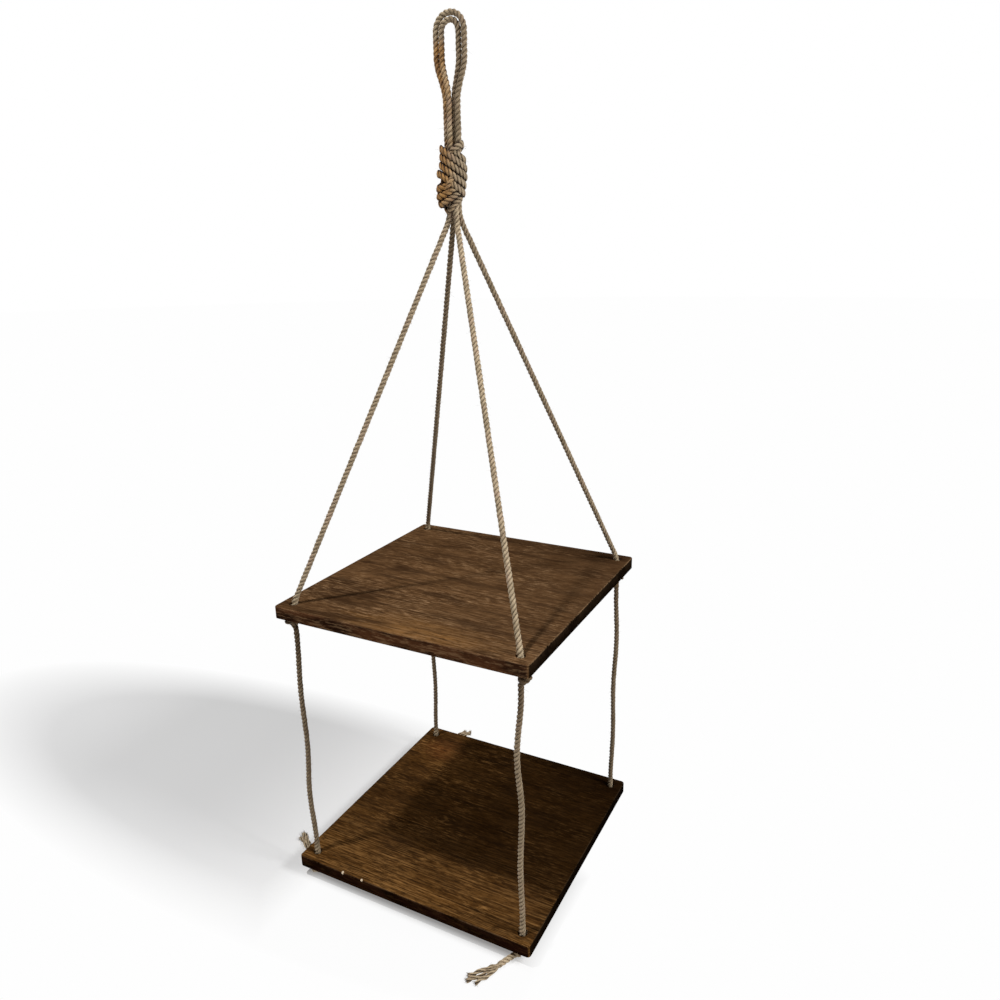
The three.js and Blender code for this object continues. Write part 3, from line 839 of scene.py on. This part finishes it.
TIGHT_DIAMETER = 3.9
KNOT_POINTS = 90
KNOT_ROUNDS = 700
KNOT_INNER_ROUNDS = 6
FLAT_HALF_HEIGHT = 3.4
LOOSE_LONG, LOOSE_WIDE, LOOSE_REACH = 0.45, 2.6, 2.3
STRAIGHTENING = 0.1
PULL = 0.1
END_GUIDING = 0.05
NEAR_GUIDING = 0.03
STRETCH_SHARE = 0.5
PUSH_SHARE = 0.4
AXIS_CLEARANCE = 1.5
NEIGHBOUR_REACH = 1.45
STRAIGHT_HEIGHT = 5.5
STRAIGHT_REACH = 3
CUT_HEIGHT = 9.5
UPPER_KNOT_SHIFT = 2.4 * MM
KNOT_BULGE_HEIGHT = 6.2
KNOT_BULGE_REACH = 3


def loose_overhand():
    t = np.linspace(-LOOSE_REACH, LOOSE_REACH, 2000)
    curve = np.stack([(t ** 3 - 3 * t) * LOOSE_WIDE, (t ** 4 - 4 * t ** 2 + 2) * LOOSE_WIDE,
                      (10 * t - t ** 5) * LOOSE_LONG], axis=1)
    points, even = spread_evenly(curve, KNOT_POINTS)
    return points, even[1]


def tight_overhand(end_direction, end_line, half_height):
    """The first end is drawn up along the hole's axis, the last end along end_direction."""
    points, spacing = loose_overhand()
    one, other = np.triu_indices(KNOT_POINTS, 1)
    apart = other - one > round(NEIGHBOUR_REACH * TIGHT_DIAMETER / spacing)
    one, other = one[apart], other[apart]
    pulls = [(0, (1, 2), np.array([0.0, 0.0, 1.0]), np.zeros(3)),
             (-1, (-2, -3), np.array(end_direction, float), np.array(end_line, float))]
    for _ in range(KNOT_ROUNDS):
        for end, beside, direction, through in pulls:
            off = points[end] - through
            points[end] += PULL * direction - END_GUIDING * (off - (off @ direction) * direction)
            for near in beside:
                off = points[near] - through
                points[near] -= NEAR_GUIDING * (off - (off @ direction) * direction)
        for _ in range(KNOT_INNER_ROUNDS):
            for odd in (0, 1):
                a, b = points[odd:-1:2], points[odd + 1::2]
                pairs = min(len(a), len(b))
                gap = b[:pairs] - a[:pairs]
                length = np.linalg.norm(gap, axis=1)[:, None]
                shift = STRETCH_SHARE * (length - spacing) / length * gap
                a[:pairs] += shift
                b[:pairs] -= shift
            points[1:-1] += STRAIGHTENING * (0.5 * (points[:-2] + points[2:]) - points[1:-1])
            gap = points[other] - points[one]
            length = np.linalg.norm(gap, axis=1)
            hit = length < TIGHT_DIAMETER
            shift = PUSH_SHARE * (TIGHT_DIAMETER / np.maximum(length[hit], 1e-9) - 1)[:, None] * gap[hit]
            np.add.at(points, one[hit], -shift)
            np.add.at(points, other[hit], shift)
            away = np.hypot(points[:, 0], points[:, 1]) > AXIS_CLEARANCE
            points[away, 2] = np.clip(points[away, 2], -half_height, half_height)
    return points


def drawn_to_axis(points, sign):
    """Brings the straight end onto the hole's axis, and cuts it where the rope goes on."""
    height = sign * points[:, 2]
    inside = np.argmax(height < STRAIGHT_HEIGHT)
    share = smooth((height[:inside] - STRAIGHT_HEIGHT) / STRAIGHT_REACH)
    points[:inside, :2] *= (1 - share)[:, None]
    return points[height <= CUT_HEIGHT] if inside else points


def turned_about_z(points, angle):
    cos, sin = math.cos(angle), math.sin(angle)
    return points @ np.array([[cos, -sin, 0], [sin, cos, 0], [0, 0, 1]]).T


UPPER_KNOT = tight_overhand((0, 0, -1), (0, 0, 0), math.inf)
LOWER_KNOT = tight_overhand((1, 0, 0), (0, 0, -1.7), FLAT_HALF_HEIGHT)


def upper_knot_points(corner, plumb):
    points = drawn_to_axis(UPPER_KNOT.copy(), 1)
    points = drawn_to_axis(points[::-1], -1)[::-1]
    points = turned_about_z(points, math.radians(corner["knot_turn"]))
    bulge = smooth((KNOT_BULGE_HEIGHT - np.abs(points[:, 2])) / KNOT_BULGE_REACH)
    shift = VIEW_ACROSS * corner["side"][0] * UPPER_KNOT_SHIFT * bulge[:, None]
    return plumb + points * MM + shift + UP * (UPPER_KNOT_TOP + UPPER_KNOT_BOTTOM) / 2


def lower_knot_points(corner, plumb):
    start_x, start_y = corner["tail"][0]
    points = drawn_to_axis(LOWER_KNOT.copy(), 1)
    last = len(points)
    while points[last - 1, 0] > math.hypot(start_x, start_y) - 1:
        last -= 1
    points = turned_about_z(points[:last], math.atan2(start_y, start_x))
    return plumb + points * MM + UP * (ROPE_FOOT + (UPPER_KNOT_TOP - UPPER_KNOT_BOTTOM) / 2)


# Routes of the corners' ropes

def half_rope(top, bottom, bow, plumb):
    share = np.linspace(0, 1, 110)
    off = (1 - np.cos(2 * math.pi * share)) / 2
    bow = np.array(bow) * MM
    return plumb + np.stack([bow[0] * off, bow[1] * off, top + (bottom - top) * share], axis=1)


def corner_route(corner, plumb):
    """One rope from inside the gathering knot down to the end of its tail."""
    top = np.array([*corner["side"], 0]) * BUNDLE_OFFSET
    above = top + UP * (SEAT + 2 * BEND_REACH)
    fan = top + UP * SEAT
    mouth = plumb + UP * UPPER_TOP
    under = plumb + UP * UPPER_UNDER
    fan_bend = rounded_corner(above, fan, mouth, BEND_REACH)
    mouth_bend = rounded_corner(fan, mouth, under, BEND_REACH)
    upper_knot = upper_knot_points(corner, plumb)
    lower_knot = lower_knot_points(corner, plumb)
    return Route(
        line(above, fan_bend[0]), fan_bend, line(fan_bend[-1], mouth_bend[0]), mouth_bend,
        upper_knot,
        line(upper_knot[-1], plumb + UP * UPPER_HALF_TOP),
        half_rope(UPPER_HALF_TOP, UPPER_HALF_BOTTOM, corner["upper_bow"], plumb),
        half_rope(LOWER_HALF_TOP, LOWER_HALF_BOTTOM, corner["lower_bow"], plumb),
        line(plumb + UP * FOOT_TOP, lower_knot[0]),
        lower_knot,
        curve_through(corner["tail_points"]),
    )


for details in CORNERS.values():
    details["plumb"] = np.array([*details["side"], 0]) * HOLE_CENTRE
    tail = np.column_stack([details["tail"], TAIL_HEIGHTS]) * MM
    details["tail_points"] = details["plumb"] + tail + UP * ROPE_FOOT
    details["route"] = corner_route(details, details["plumb"])
    details["route"].fullness *= HANGING_FULLNESS


# Rope pieces

def finish_piece(shape, name, replaced=None):
    piece = shape.build(name, ROPE)
    if replaced:
        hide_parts(replaced)
    return piece


def make_tails():
    for name, corner in CORNERS.items():
        route = corner["route"]
        first, last = route.ring_near(corner["tail_points"][0]), route.last
        shape, fluff = Shape(), Shape()
        draw_tail(shape, fluff, route, first, last, name)
        piece = finish_piece(shape, f"tail_rope_{name}", f"frayed_tail_{name}")
        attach(piece, "lower_tier")
        fibres = finish_piece(fluff, f"tail_fibres_{name}")
        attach(fibres, "lower_tier")
        path = [tuple(map(float, point)) for point in curve_through(corner["tail_points"], steps=3)]
        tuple(path[0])


make_tails()


# The loop: two ropes side by side, each folded over the hook

EYE_RADIUS = 6 * MM
INNER_BEND_RADIUS = EYE_RADIUS + ROPE_RADIUS
OUTER_BEND_RADIUS = INNER_BEND_RADIUS + LEG_PITCH
BEND_CENTRE = -EYE_RADIUS
LEG_TOP = BIGHT_END - ROPE_RADIUS - RESTING_GAP
LEG_FOOT = KNOT_BOTTOM + 8 * MM
LEG_GATHER = (10 * MM, 46 * MM)
LEG_SQUEEZE_SHARE = 0.1
LEG_INSIDE = (KNOT_TOP - 4 * MM, KNOT_TOP - 26 * MM)
INNER_LEG_BOTTOM_X = 1.6 * MM
LEG_CUT = -55 * MM
ARC_STEPS = 60


def leg_points(top, bottom, side):
    """One leg of the loop, from the bend down into the gathering knot."""
    height = np.arange(BEND_CENTRE, LEG_FOOT, -MM)[:, None]
    share = fade(LEG_TOP - height, *LEG_GATHER)
    off = (top + (bottom - top) * share) * (1 - LEG_SQUEEZE_SHARE * share)
    off = off + (np.array(side) * BUNDLE_OFFSET - off) * fade(height, *LEG_INSIDE)
    return np.hstack([off, height])


def folded_route(bend_radius, bottom_x, bottom_y, left_side, right_side):
    top, bottom = np.array([bend_radius, 0.0]), np.array([bottom_x, bottom_y])
    angle = np.linspace(math.pi, 0, ARC_STEPS)
    height = BEND_CENTRE + bend_radius * np.sin(angle)
    arc = np.stack([bend_radius * np.cos(angle), np.zeros(ARC_STEPS), height], axis=1)
    return Route(leg_points(-top, -bottom, left_side)[::-1], arc, leg_points(top, bottom, right_side))


def make_loop():
    bottom_y = math.sqrt(BUNDLE_OFFSET ** 2 - INNER_LEG_BOTTOM_X ** 2)
    outer_bottom_x = INNER_LEG_BOTTOM_X + math.sqrt(LEG_PITCH ** 2 - bottom_y ** 2)
    folds = {
        "inner": (INNER_BEND_RADIUS, INNER_LEG_BOTTOM_X, bottom_y, (-1, -1), (1, 1)),
        "outer": (OUTER_BEND_RADIUS, outer_bottom_x, 0.0, (-1, 1), (1, -1)),
    }
    for name, sizes in folds.items():
        route = folded_route(*sizes)
        route.fullness *= LOOP_FULLNESS
        height = route.points[:, 2]
        middle = len(height) // 2
        left_cut = nearest(height[:middle], LEG_CUT)
        right_cut = middle + nearest(height[middle:], LEG_CUT)
        shape = Shape()
        lay_rope(shape, route, left_cut, right_cut)
        piece = finish_piece(shape, f"folded_rope_{name}", f"loop_bight_{name}")
        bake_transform(piece)
        for side, first, last in (("left", 0, left_cut), ("right", right_cut, route.last)):
            shape = Shape()
            lay_rope(shape, route, first, last)
            piece = finish_piece(shape, f"leg_rope_{name}_{side}", f"loop_leg_{name}_{side}")
            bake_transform(piece)


make_loop()


# The gathering knot: one rope wound round the bundle in slanting turns, and the bulb below it. Turns
# are counted from the high side of the lowest one.

HIGH_SIDE = math.radians(207)
SLANTING_TURNS = 4
WINDING_START, WINDING_END = -0.05, 4.8
START_TUCK, END_TUCK = 0.3, 0.16
WINDING_RADIUS = 11.2 * MM
WINDING_PITCH = 7 * MM
WINDING_TILT = 6.85 * MM
WINDING_LOW = KNOT_TOP - 13.4 * MM - SLANTING_TURNS * WINDING_PITCH
WINDING_SHIFT = 2.2 * MM
SHIFTED_TURNS = (2.8, 0.4)
PROUD_REACH, PROUD_WIDTH = 1 * MM, 0.1
SWING_TURNS = (4.0, 4.38)
TOP_RISE = 6.8 * MM
HUG_TURNS = (3.95, 4.15)
TOP_HUG = 2.6 * MM
START_DIVE, END_DIVE, END_DROP = 3 * MM, 2 * MM, 1 * MM
SHOULDER_START, SHOULDER_END = 4.2, 4.78
SHOULDER_TUCKS = (0.14, 0.2)
SHOULDER_DEPTH, SHOULDER_DIVE = 0.9 * MM, 4.5 * MM
BULB_ROPES = 4
BULB_START, BULB_END = -0.06, 1.04
BULB_TUCKS = (0.1, 0.1)
BULB_RADIUS = 10.4 * MM
BULB_LOW_RADIUS = 6.2 * MM
BULB_NARROWING = 11 * MM
BULB_SHIFT = 4.4 * MM
BULB_FIRST_RISE = 7.5 * MM
BULB_PITCH = 6.6 * MM
BULB_TILT = 6.5 * MM
BULB_TURN = math.radians(25)
BULB_FOOT, BULB_FOOT_SHARE = 1.2 * MM, 0.35
BULB_DIVE = 3 * MM
CROSSING_START, CROSSING_SWEEP = math.radians(296), math.radians(34)
CROSSING_TOP, CROSSING_FALL = KNOT_TOP - 30 * MM, 24 * MM
CROSSING_PROUD, CROSSING_DIVE, CROSSING_HIGH = 1.4 * MM, 5 * MM, 0.7
WOUND_STRETCH = 0.06
FLATTENING, FLATTENING_GROWTH = 0.4, 2


def ring_points(angle, radius, height, shift=0.0):
    """A curve round the knot, which lies farther to the view's left by its shift."""
    points = np.stack([radius * np.cos(angle), radius * np.sin(angle), height], axis=1)
    return points - VIEW_ACROSS * np.reshape(shift, (-1, 1))


def inside_ends(turn, start_tuck, end_tuck):
    """0 at both ends of a row of turns, and 1 farther in than they are tucked."""
    return fade(turn, turn[0], turn[0] + start_tuck) * fade(turn, turn[-1], turn[-1] - end_tuck)


def slanting_turn(turn, tilt):
    """The angle and height at which a slanting turn runs."""
    angle = HIGH_SIDE - 2 * math.pi * turn
    return angle, WINDING_LOW + WINDING_PITCH * turn + tilt * np.cos(angle - HIGH_SIDE)


def winding_points():
    """The slanting turns, and a last one that swings up at the back and comes round as a coil on the
    other side of the knot's top. Both ends dive under their neighbours. The lower turns lie farther
    to the view's left, and one stands proud there."""
    turn = np.linspace(WINDING_START, WINDING_END, 900)
    angle, height = slanting_turn(turn, WINDING_TILT - (WINDING_TILT + TOP_RISE) * fade(turn, *SWING_TURNS))
    start = fade(turn, WINDING_START, WINDING_START + START_TUCK)
    end = fade(turn, WINDING_END, WINDING_END - END_TUCK)
    proud = PROUD_REACH * np.exp(-((turn - 1) / PROUD_WIDTH) ** 2)
    hug = TOP_HUG * fade(turn, *HUG_TURNS)
    radius = WINDING_RADIUS + proud - hug - START_DIVE * (1 - start) - END_DIVE * (1 - end)
    shift = WINDING_SHIFT * fade(turn, *SHIFTED_TURNS)
    return ring_points(angle, radius, height - END_DROP * (1 - end), shift)


def shoulder_rope():
    """The rope that fills the knot's shoulder between the slanting turns and the top coil."""
    turn = np.linspace(SHOULDER_START, SHOULDER_END, 140)
    angle, height = slanting_turn(turn, WINDING_TILT)
    dive = SHOULDER_DIVE * (1 - inside_ends(turn, *SHOULDER_TUCKS))
    return ring_points(angle, WINDING_RADIUS - SHOULDER_DEPTH - dive, height)


def bulb_turn(number):
    """One of the ropes that swell below the winding: they rise the other way, from the low left side."""
    turn = np.linspace(BULB_START, BULB_END, 240)
    angle = HIGH_SIDE + 2 * math.pi * turn
    middle = KNOT_BOTTOM + BULB_FIRST_RISE + BULB_PITCH * number
    height = middle - BULB_TILT * np.cos(angle - HIGH_SIDE - BULB_TURN)
    height = np.maximum(height, KNOT_BOTTOM + BULB_FOOT + BULB_FOOT_SHARE * (height - KNOT_BOTTOM))
    low = fade(height, KNOT_BOTTOM, KNOT_BOTTOM + BULB_NARROWING)
    dive = BULB_DIVE * (1 - inside_ends(turn, *BULB_TUCKS))
    radius = BULB_LOW_RADIUS + (BULB_RADIUS - BULB_LOW_RADIUS) * low - dive
    return ring_points(angle, radius, height, BULB_SHIFT * low)


def crossing_rope():
    """One rope that comes out from under the lowest slanting turn and dives under the bulb's ropes."""
    share = np.linspace(0, 1, 60)
    radius = BULB_RADIUS + CROSSING_PROUD - CROSSING_DIVE * (2 * share - CROSSING_HIGH) ** 2
    return ring_points(CROSSING_START - CROSSING_SWEEP * share, radius, CROSSING_TOP - CROSSING_FALL * share,
                       BULB_SHIFT * share)


def pressed_route(points, pitch, inward):
    """A turn that its neighbours press: stretched along the knot until it meets them, and flat
    towards the knot's axis where it is stretched most."""
    route = Route(points)
    radial = unit(route.points * [1, 1, 0])
    beside = unit(np.cross(route.tangents, radial))
    level = np.sqrt(1 - route.tangents[:, 2] ** 2)
    stretch = np.maximum(pitch * level / (2 * ROPE_RADIUS) - 1, 0) + WOUND_STRETCH
    route.press = [(radial, -inward * (FLATTENING + FLATTENING_GROWTH * stretch)), (beside, stretch)]
    return route


def make_gathering_knot():
    wound = [(winding_points(), WINDING_PITCH, 0.3), (shoulder_rope(), WINDING_PITCH, 0.3)]
    bulb = [(bulb_turn(number), BULB_PITCH, 0.2) for number in range(BULB_ROPES)]
    bulb.append((crossing_rope(), WINDING_PITCH, 0.1))
    for label, part, turns in (("wound", "winding", wound), ("bulb", "core", bulb)):
        shape = Shape()
        for turn in turns:
            lay_rope(shape, pressed_route(*turn))
        piece = finish_piece(shape, f"{label}_rope", f"gathering_knot_{part}")
        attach(piece, "gathering_knot")


make_gathering_knot()


# The corners' ropes

MOUTH_CUT = UPPER_TOP - 6 * MM
NECK_CUT = -548 * MM
FOOT_TIP = -822.5 * MM
THROUGH_TIP = -820.5 * MM
SWELLING = 0.1
SWELLING_REACH = 12 * MM
SWELLING_HEIGHTS = (UPPER_TOP + 2 * MM, LOWER_TOP + 3 * MM)

# The hanging rope's pieces from the top down: what each is called, the body at its lower end, and in
# millimetres the height where it ends and two more heights
HANGING_PIECES = [
    ("neck_rope", "neck", -558.2, -549.5, -557),
    ("hanging_rope_top", "upper_half", -625, -558.7, -574),
    ("hanging_rope_knee", "lower_half", -750, -640, -735),
    ("hanging_rope_foot", "foot", -816.4, -801, -816),
]


def make_corner_ropes():
    for name, corner in CORNERS.items():
        route = corner["route"]
        height = route.points[:, 2]
        off = np.min([np.abs(height - swollen) for swollen in SWELLING_HEIGHTS], axis=0)
        route.fullness = HANGING_FULLNESS * (1 + SWELLING * smooth(1 - off / SWELLING_REACH))

        def piece_of(label, first, last, replaced=None, mouth_height=None):
            shape = Shape()
            lay_rope(shape, route, first, last, name)
            if mouth_height:
                add_mouth_fibres(shape, route, mouth_height)
            return finish_piece(shape, f"{label}_{name}", replaced and f"{replaced}_{name}")

        mouth = route.ring_below(MOUTH_CUT, 0)
        piece = piece_of("fan_rope", 0, mouth, "upper_rope", UPPER_TOP)
        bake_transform(piece)
        last = int(np.where(height >= NECK_CUT)[0][-1])
        piece = piece_of("upper_knot_rope", mouth, last, "upper_stop_knot")
        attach(piece, "upper_tier")
        body = "upper_tier"
        for label, part, cut, start, end in HANGING_PIECES:
            first, last = last, route.ring_below(cut * MM, last)
            piece = piece_of(label, first, last, f"rope_{part}")
            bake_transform(piece)
            body = f"{part}_{name}"
        if name == "front_left":
            through = route.ring_below(LOWER_TOP - 6 * MM, last)
            piece = piece_of("foot_rope", last, through)
            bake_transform(piece)
        else:
            through = route.ring_below(THROUGH_TIP, last)
            piece = piece_of("foot_rope", last, route.ring_below(FOOT_TIP, last))
            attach(piece, body)
        tail_first = route.ring_near(corner["tail_points"][0])
        piece = piece_of("lower_knot_rope", through, tail_first, "lower_stop_knot", LOWER_TOP)
        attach(piece, "lower_tier")


make_corner_ropes()


# Boards

CORNER_RADIUS = 4 * MM
BOARD_EASE, UNDER_EASE, HOLE_EASE = 1.0 * MM, 0.8 * MM, 0.7 * MM
EASE_UNEVEN, EASE_REACH = 0.07, 5
EASE_STEPS = 4
CORNER_STEPS = 10
EDGE_STEPS = 120
HOLE_STEPS = 32
UNDER_WEAR, LEAST_WEAR = 0.3, 0.1
END_WEAR = {"upper_board": 1.0, "lower_board": 0.25}
SIDE_WEAR = 0.35
END_FACING = 0.7
CHIPS = {"lower_board": [(-0.081, 2.2), (-0.056, 1.6)], "upper_board": []}
CHIP_WIDTH = 2.2 * MM


def board_outline():
    """Points round a board's edge, and which way each faces."""
    points, outs = [], []
    straight = BOARD_HALF - CORNER_RADIUS
    for quarter in range(4):
        turn = quarter * math.pi / 2
        cos, sin = math.cos(turn), math.sin(turn)
        for step in range(EDGE_STEPS):
            along = -straight + 2 * straight * step / EDGE_STEPS
            points.append((cos * BOARD_HALF - sin * along, sin * BOARD_HALF + cos * along))
            outs.append((cos, sin))
        for step in range(CORNER_STEPS):
            angle = turn + math.pi / 2 * step / CORNER_STEPS
            outs.append((math.cos(angle), math.sin(angle)))
            points.append((cos * straight - sin * straight + CORNER_RADIUS * outs[-1][0],
                           sin * straight + cos * straight + CORNER_RADIUS * outs[-1][1]))
    return np.array(points), np.array(outs)


def eased(top, under, upper_ease, lower_ease):
    """An edge from top to underside: how far each ring of it lies inward, its height and its angle."""
    angles = [math.pi / 2 * step / EASE_STEPS for step in range(EASE_STEPS + 1)]
    rounds = [(angle, top, -upper_ease) for angle in angles]
    rounds += [(angle, under, lower_ease) for angle in reversed(angles)]
    return [(abs(ease) * (1 - math.sin(angle)), level + ease * (1 - math.cos(angle)), angle)
            for angle, level, ease in rounds]


def loops(ring):
    return zip(ring, ring[1:] + ring[:1])


def skin(bm, rings):
    """Joins the rings by faces, and returns the edges of the first and of the last."""
    for above, below in zip(rings, rings[1:]):
        for (a, b), (c, d) in zip(loops(above), loops(below)):
            bm.faces.new((a, c, d, b)).smooth = True
    return [[bm.edges.get(pair) for pair in loops(ring)] for ring in (rings[0], rings[-1])]


def object_of(bm, name, material):
    mesh = bpy.data.meshes.new(name)
    bm.to_mesh(mesh)
    bm.free()
    mesh.materials.append(material)
    return add_object(name, mesh)


def make_board(node, material, body):
    under, top = heights_of(node)
    points, outs = board_outline()
    count = len(points)
    knots = count // EASE_REACH + 2
    rough = np.interp(np.arange(count) / EASE_REACH, np.arange(knots), dice.normal(0, 1, knots))
    ease = BOARD_EASE * (1 + EASE_UNEVEN * rough)
    chipped = np.zeros(count)
    for chip_x, chip_size in CHIPS[node]:
        near = np.exp(-((points[:, 0] - chip_x) / CHIP_WIDTH) ** 2) * (points[:, 1] < -BOARD_HALF + MM)
        ease = ease + near * chip_size * MM
        chipped[np.argmax(near)] = 1
    bm = bmesh.new()
    arris = bm.verts.layers.float.new("arris")
    chip = bm.verts.layers.float.new("chip")
    rings = []
    for number, (inward, height, angle) in enumerate(eased(top, under, ease, np.full(count, UNDER_EASE))):
        inside = 0 < number < EASE_STEPS
        worn = math.sin(2 * angle) ** 0.5 if inside else LEAST_WEAR
        if number > EASE_STEPS:
            worn = UNDER_WEAR * math.sin(2 * angle)
        ring = []
        for (x, y), (out_x, out_y), step_in, z, bare in zip(points, outs, inward, height, chipped):
            vert = bm.verts.new((x - out_x * step_in, y - out_y * step_in, z))
            vert[arris] = worn * (END_WEAR[node] if out_x > END_FACING else SIDE_WEAR)
            vert[chip] = bare * inside
            ring.append(vert)
        rings.append(ring)
    top_edges, under_edges = skin(bm, rings)
    turns = [-2 * math.pi * step / HOLE_STEPS for step in range(HOLE_STEPS)]
    for corner in CORNERS.values():
        x, y, _ = corner["plumb"]
        rings = []
        for wider, height, _ in eased(top, under, HOLE_EASE, HOLE_EASE):
            radius = HOLE_RADIUS + wider
            rings.append([bm.verts.new((x + radius * math.cos(turn), y + radius * math.sin(turn), height))
                          for turn in turns])
        hole_top, hole_under = skin(bm, rings)
        top_edges += hole_top
        under_edges += hole_under
    for edges, normal in ((top_edges, UP), (under_edges, -UP)):
        bmesh.ops.triangle_fill(bm, use_beauty=True, use_dissolve=False, edges=edges, normal=normal)
    bmesh.ops.recalc_face_normals(bm, faces=bm.faces)
    piece = object_of(bm, f"stained_{node}", material)
    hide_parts(node)
    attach(piece, body)


make_board("upper_board", UPPER_WOOD, "upper_tier")
make_board("lower_board", LOWER_WOOD, "lower_tier")


# Floor and light

FLOOR_RADIUS = 12.0
FLOOR_DROP = 0.5 * MM
FLOOR_COLOUR = colour(250, 250, 250)
PICTURE_WHITE = colour(254, 254, 254)
LIGHT_WHITE = (1.0, 1.0, 1.0, 1.0)
AMBIENT = 0.14

# Where the floor's shade fades out: round its middle, towards the back, on the right and in front
SHADE_MIDDLE = (-0.25, -0.03, 0)
SHADE_REACH = (0.6, 0.2, 1)
SHADE_FADE = (0.72, 1.08)
BRIGHT_SIDE = (0.6, 0.8, 0)
SIDE_FADE = (0.0, 0.09)
RIGHT_FADE = (0.1, 0.15)
FRONT_FADE = (-0.131, -0.144, 0.25, 0.9)
FRONT_START = (-0.17, -0.12)
FRONT_END = (-0.09, -0.12)


def floor_material():
    """Shaded near the shelf, and the picture's white farther off, where no shadow falls."""
    material, nodes, shader = new_material("pale_floor")
    ranged, vector = nodes.ranged, nodes.vector
    place = nodes.add("NewGeometry").outputs["Position"]
    x, y, _ = nodes.add("SeparateXYZ", place).outputs
    off = vector("SUBTRACT", vector("MULTIPLY", place, (1, 1, 0)), SHADE_MIDDLE)
    off = vector("DIVIDE", off, SHADE_REACH)
    clear = ranged(vector("LENGTH", off, output="Value"), *SHADE_FADE)
    towards_back = vector("DOT_PRODUCT", place, BRIGHT_SIDE, output="Value")
    front = nodes.times(ranged(y, *FRONT_FADE), ranged(x, *FRONT_START))
    front = nodes.times(front, ranged(y, *FRONT_END))
    for also in (ranged(towards_back, *SIDE_FADE), ranged(x, *RIGHT_FADE), front):
        clear = nodes.maths("MAXIMUM", clear, also)
    nodes.fill(shader, {"Base Color": FLOOR_COLOUR, "Roughness": 0.9, "Specular IOR Level": 0.0})
    white = nodes.add("Emission", PICTURE_WHITE, 1.0)
    nodes.show(clear, shader, white, "Material Output")
    return material


def make_floor():
    bm = bmesh.new()
    bmesh.ops.create_circle(bm, cap_ends=True, segments=96, radius=FLOOR_RADIUS)
    floor = object_of(bm, "floor", floor_material())
    floor.location.z = ROPE_FOOT - FLOOR_DROP


def make_world():
    world = bpy.data.worlds.new("studio")
    bpy.context.scene.world = world
    world.use_nodes = True
    nodes = Nodes(world.node_tree)
    ambient = nodes.fill(world.node_tree.nodes["Background"], {"Color": LIGHT_WHITE, "Strength": AMBIENT})
    nodes.show(1.0, ambient, nodes.add("Background", LIGHT_WHITE, 1.0), "World Output")


def area_light(name, place, aim, size, power):
    data = bpy.data.lights.new(name, "AREA")
    data.shape = "DISK"
    data.size = size
    data.energy = power
    back = unit(np.array(place) - np.array(aim))
    side = unit(np.cross(UP, back))
    add_object(name, data).matrix_world = placed(side, np.cross(back, side), back, place)


make_floor()
make_world()
area_light("overhead", (-0.69, -0.82, 2.2), aim=(0, 0, UPPER_UNDER), size=0.16, power=53)
area_light("side", (1.22, -0.06, 0.4), aim=(0, 0, LOWER_UNDER), size=0.45, power=13)
bpy.context.scene.view_settings.view_transform = "Standard"
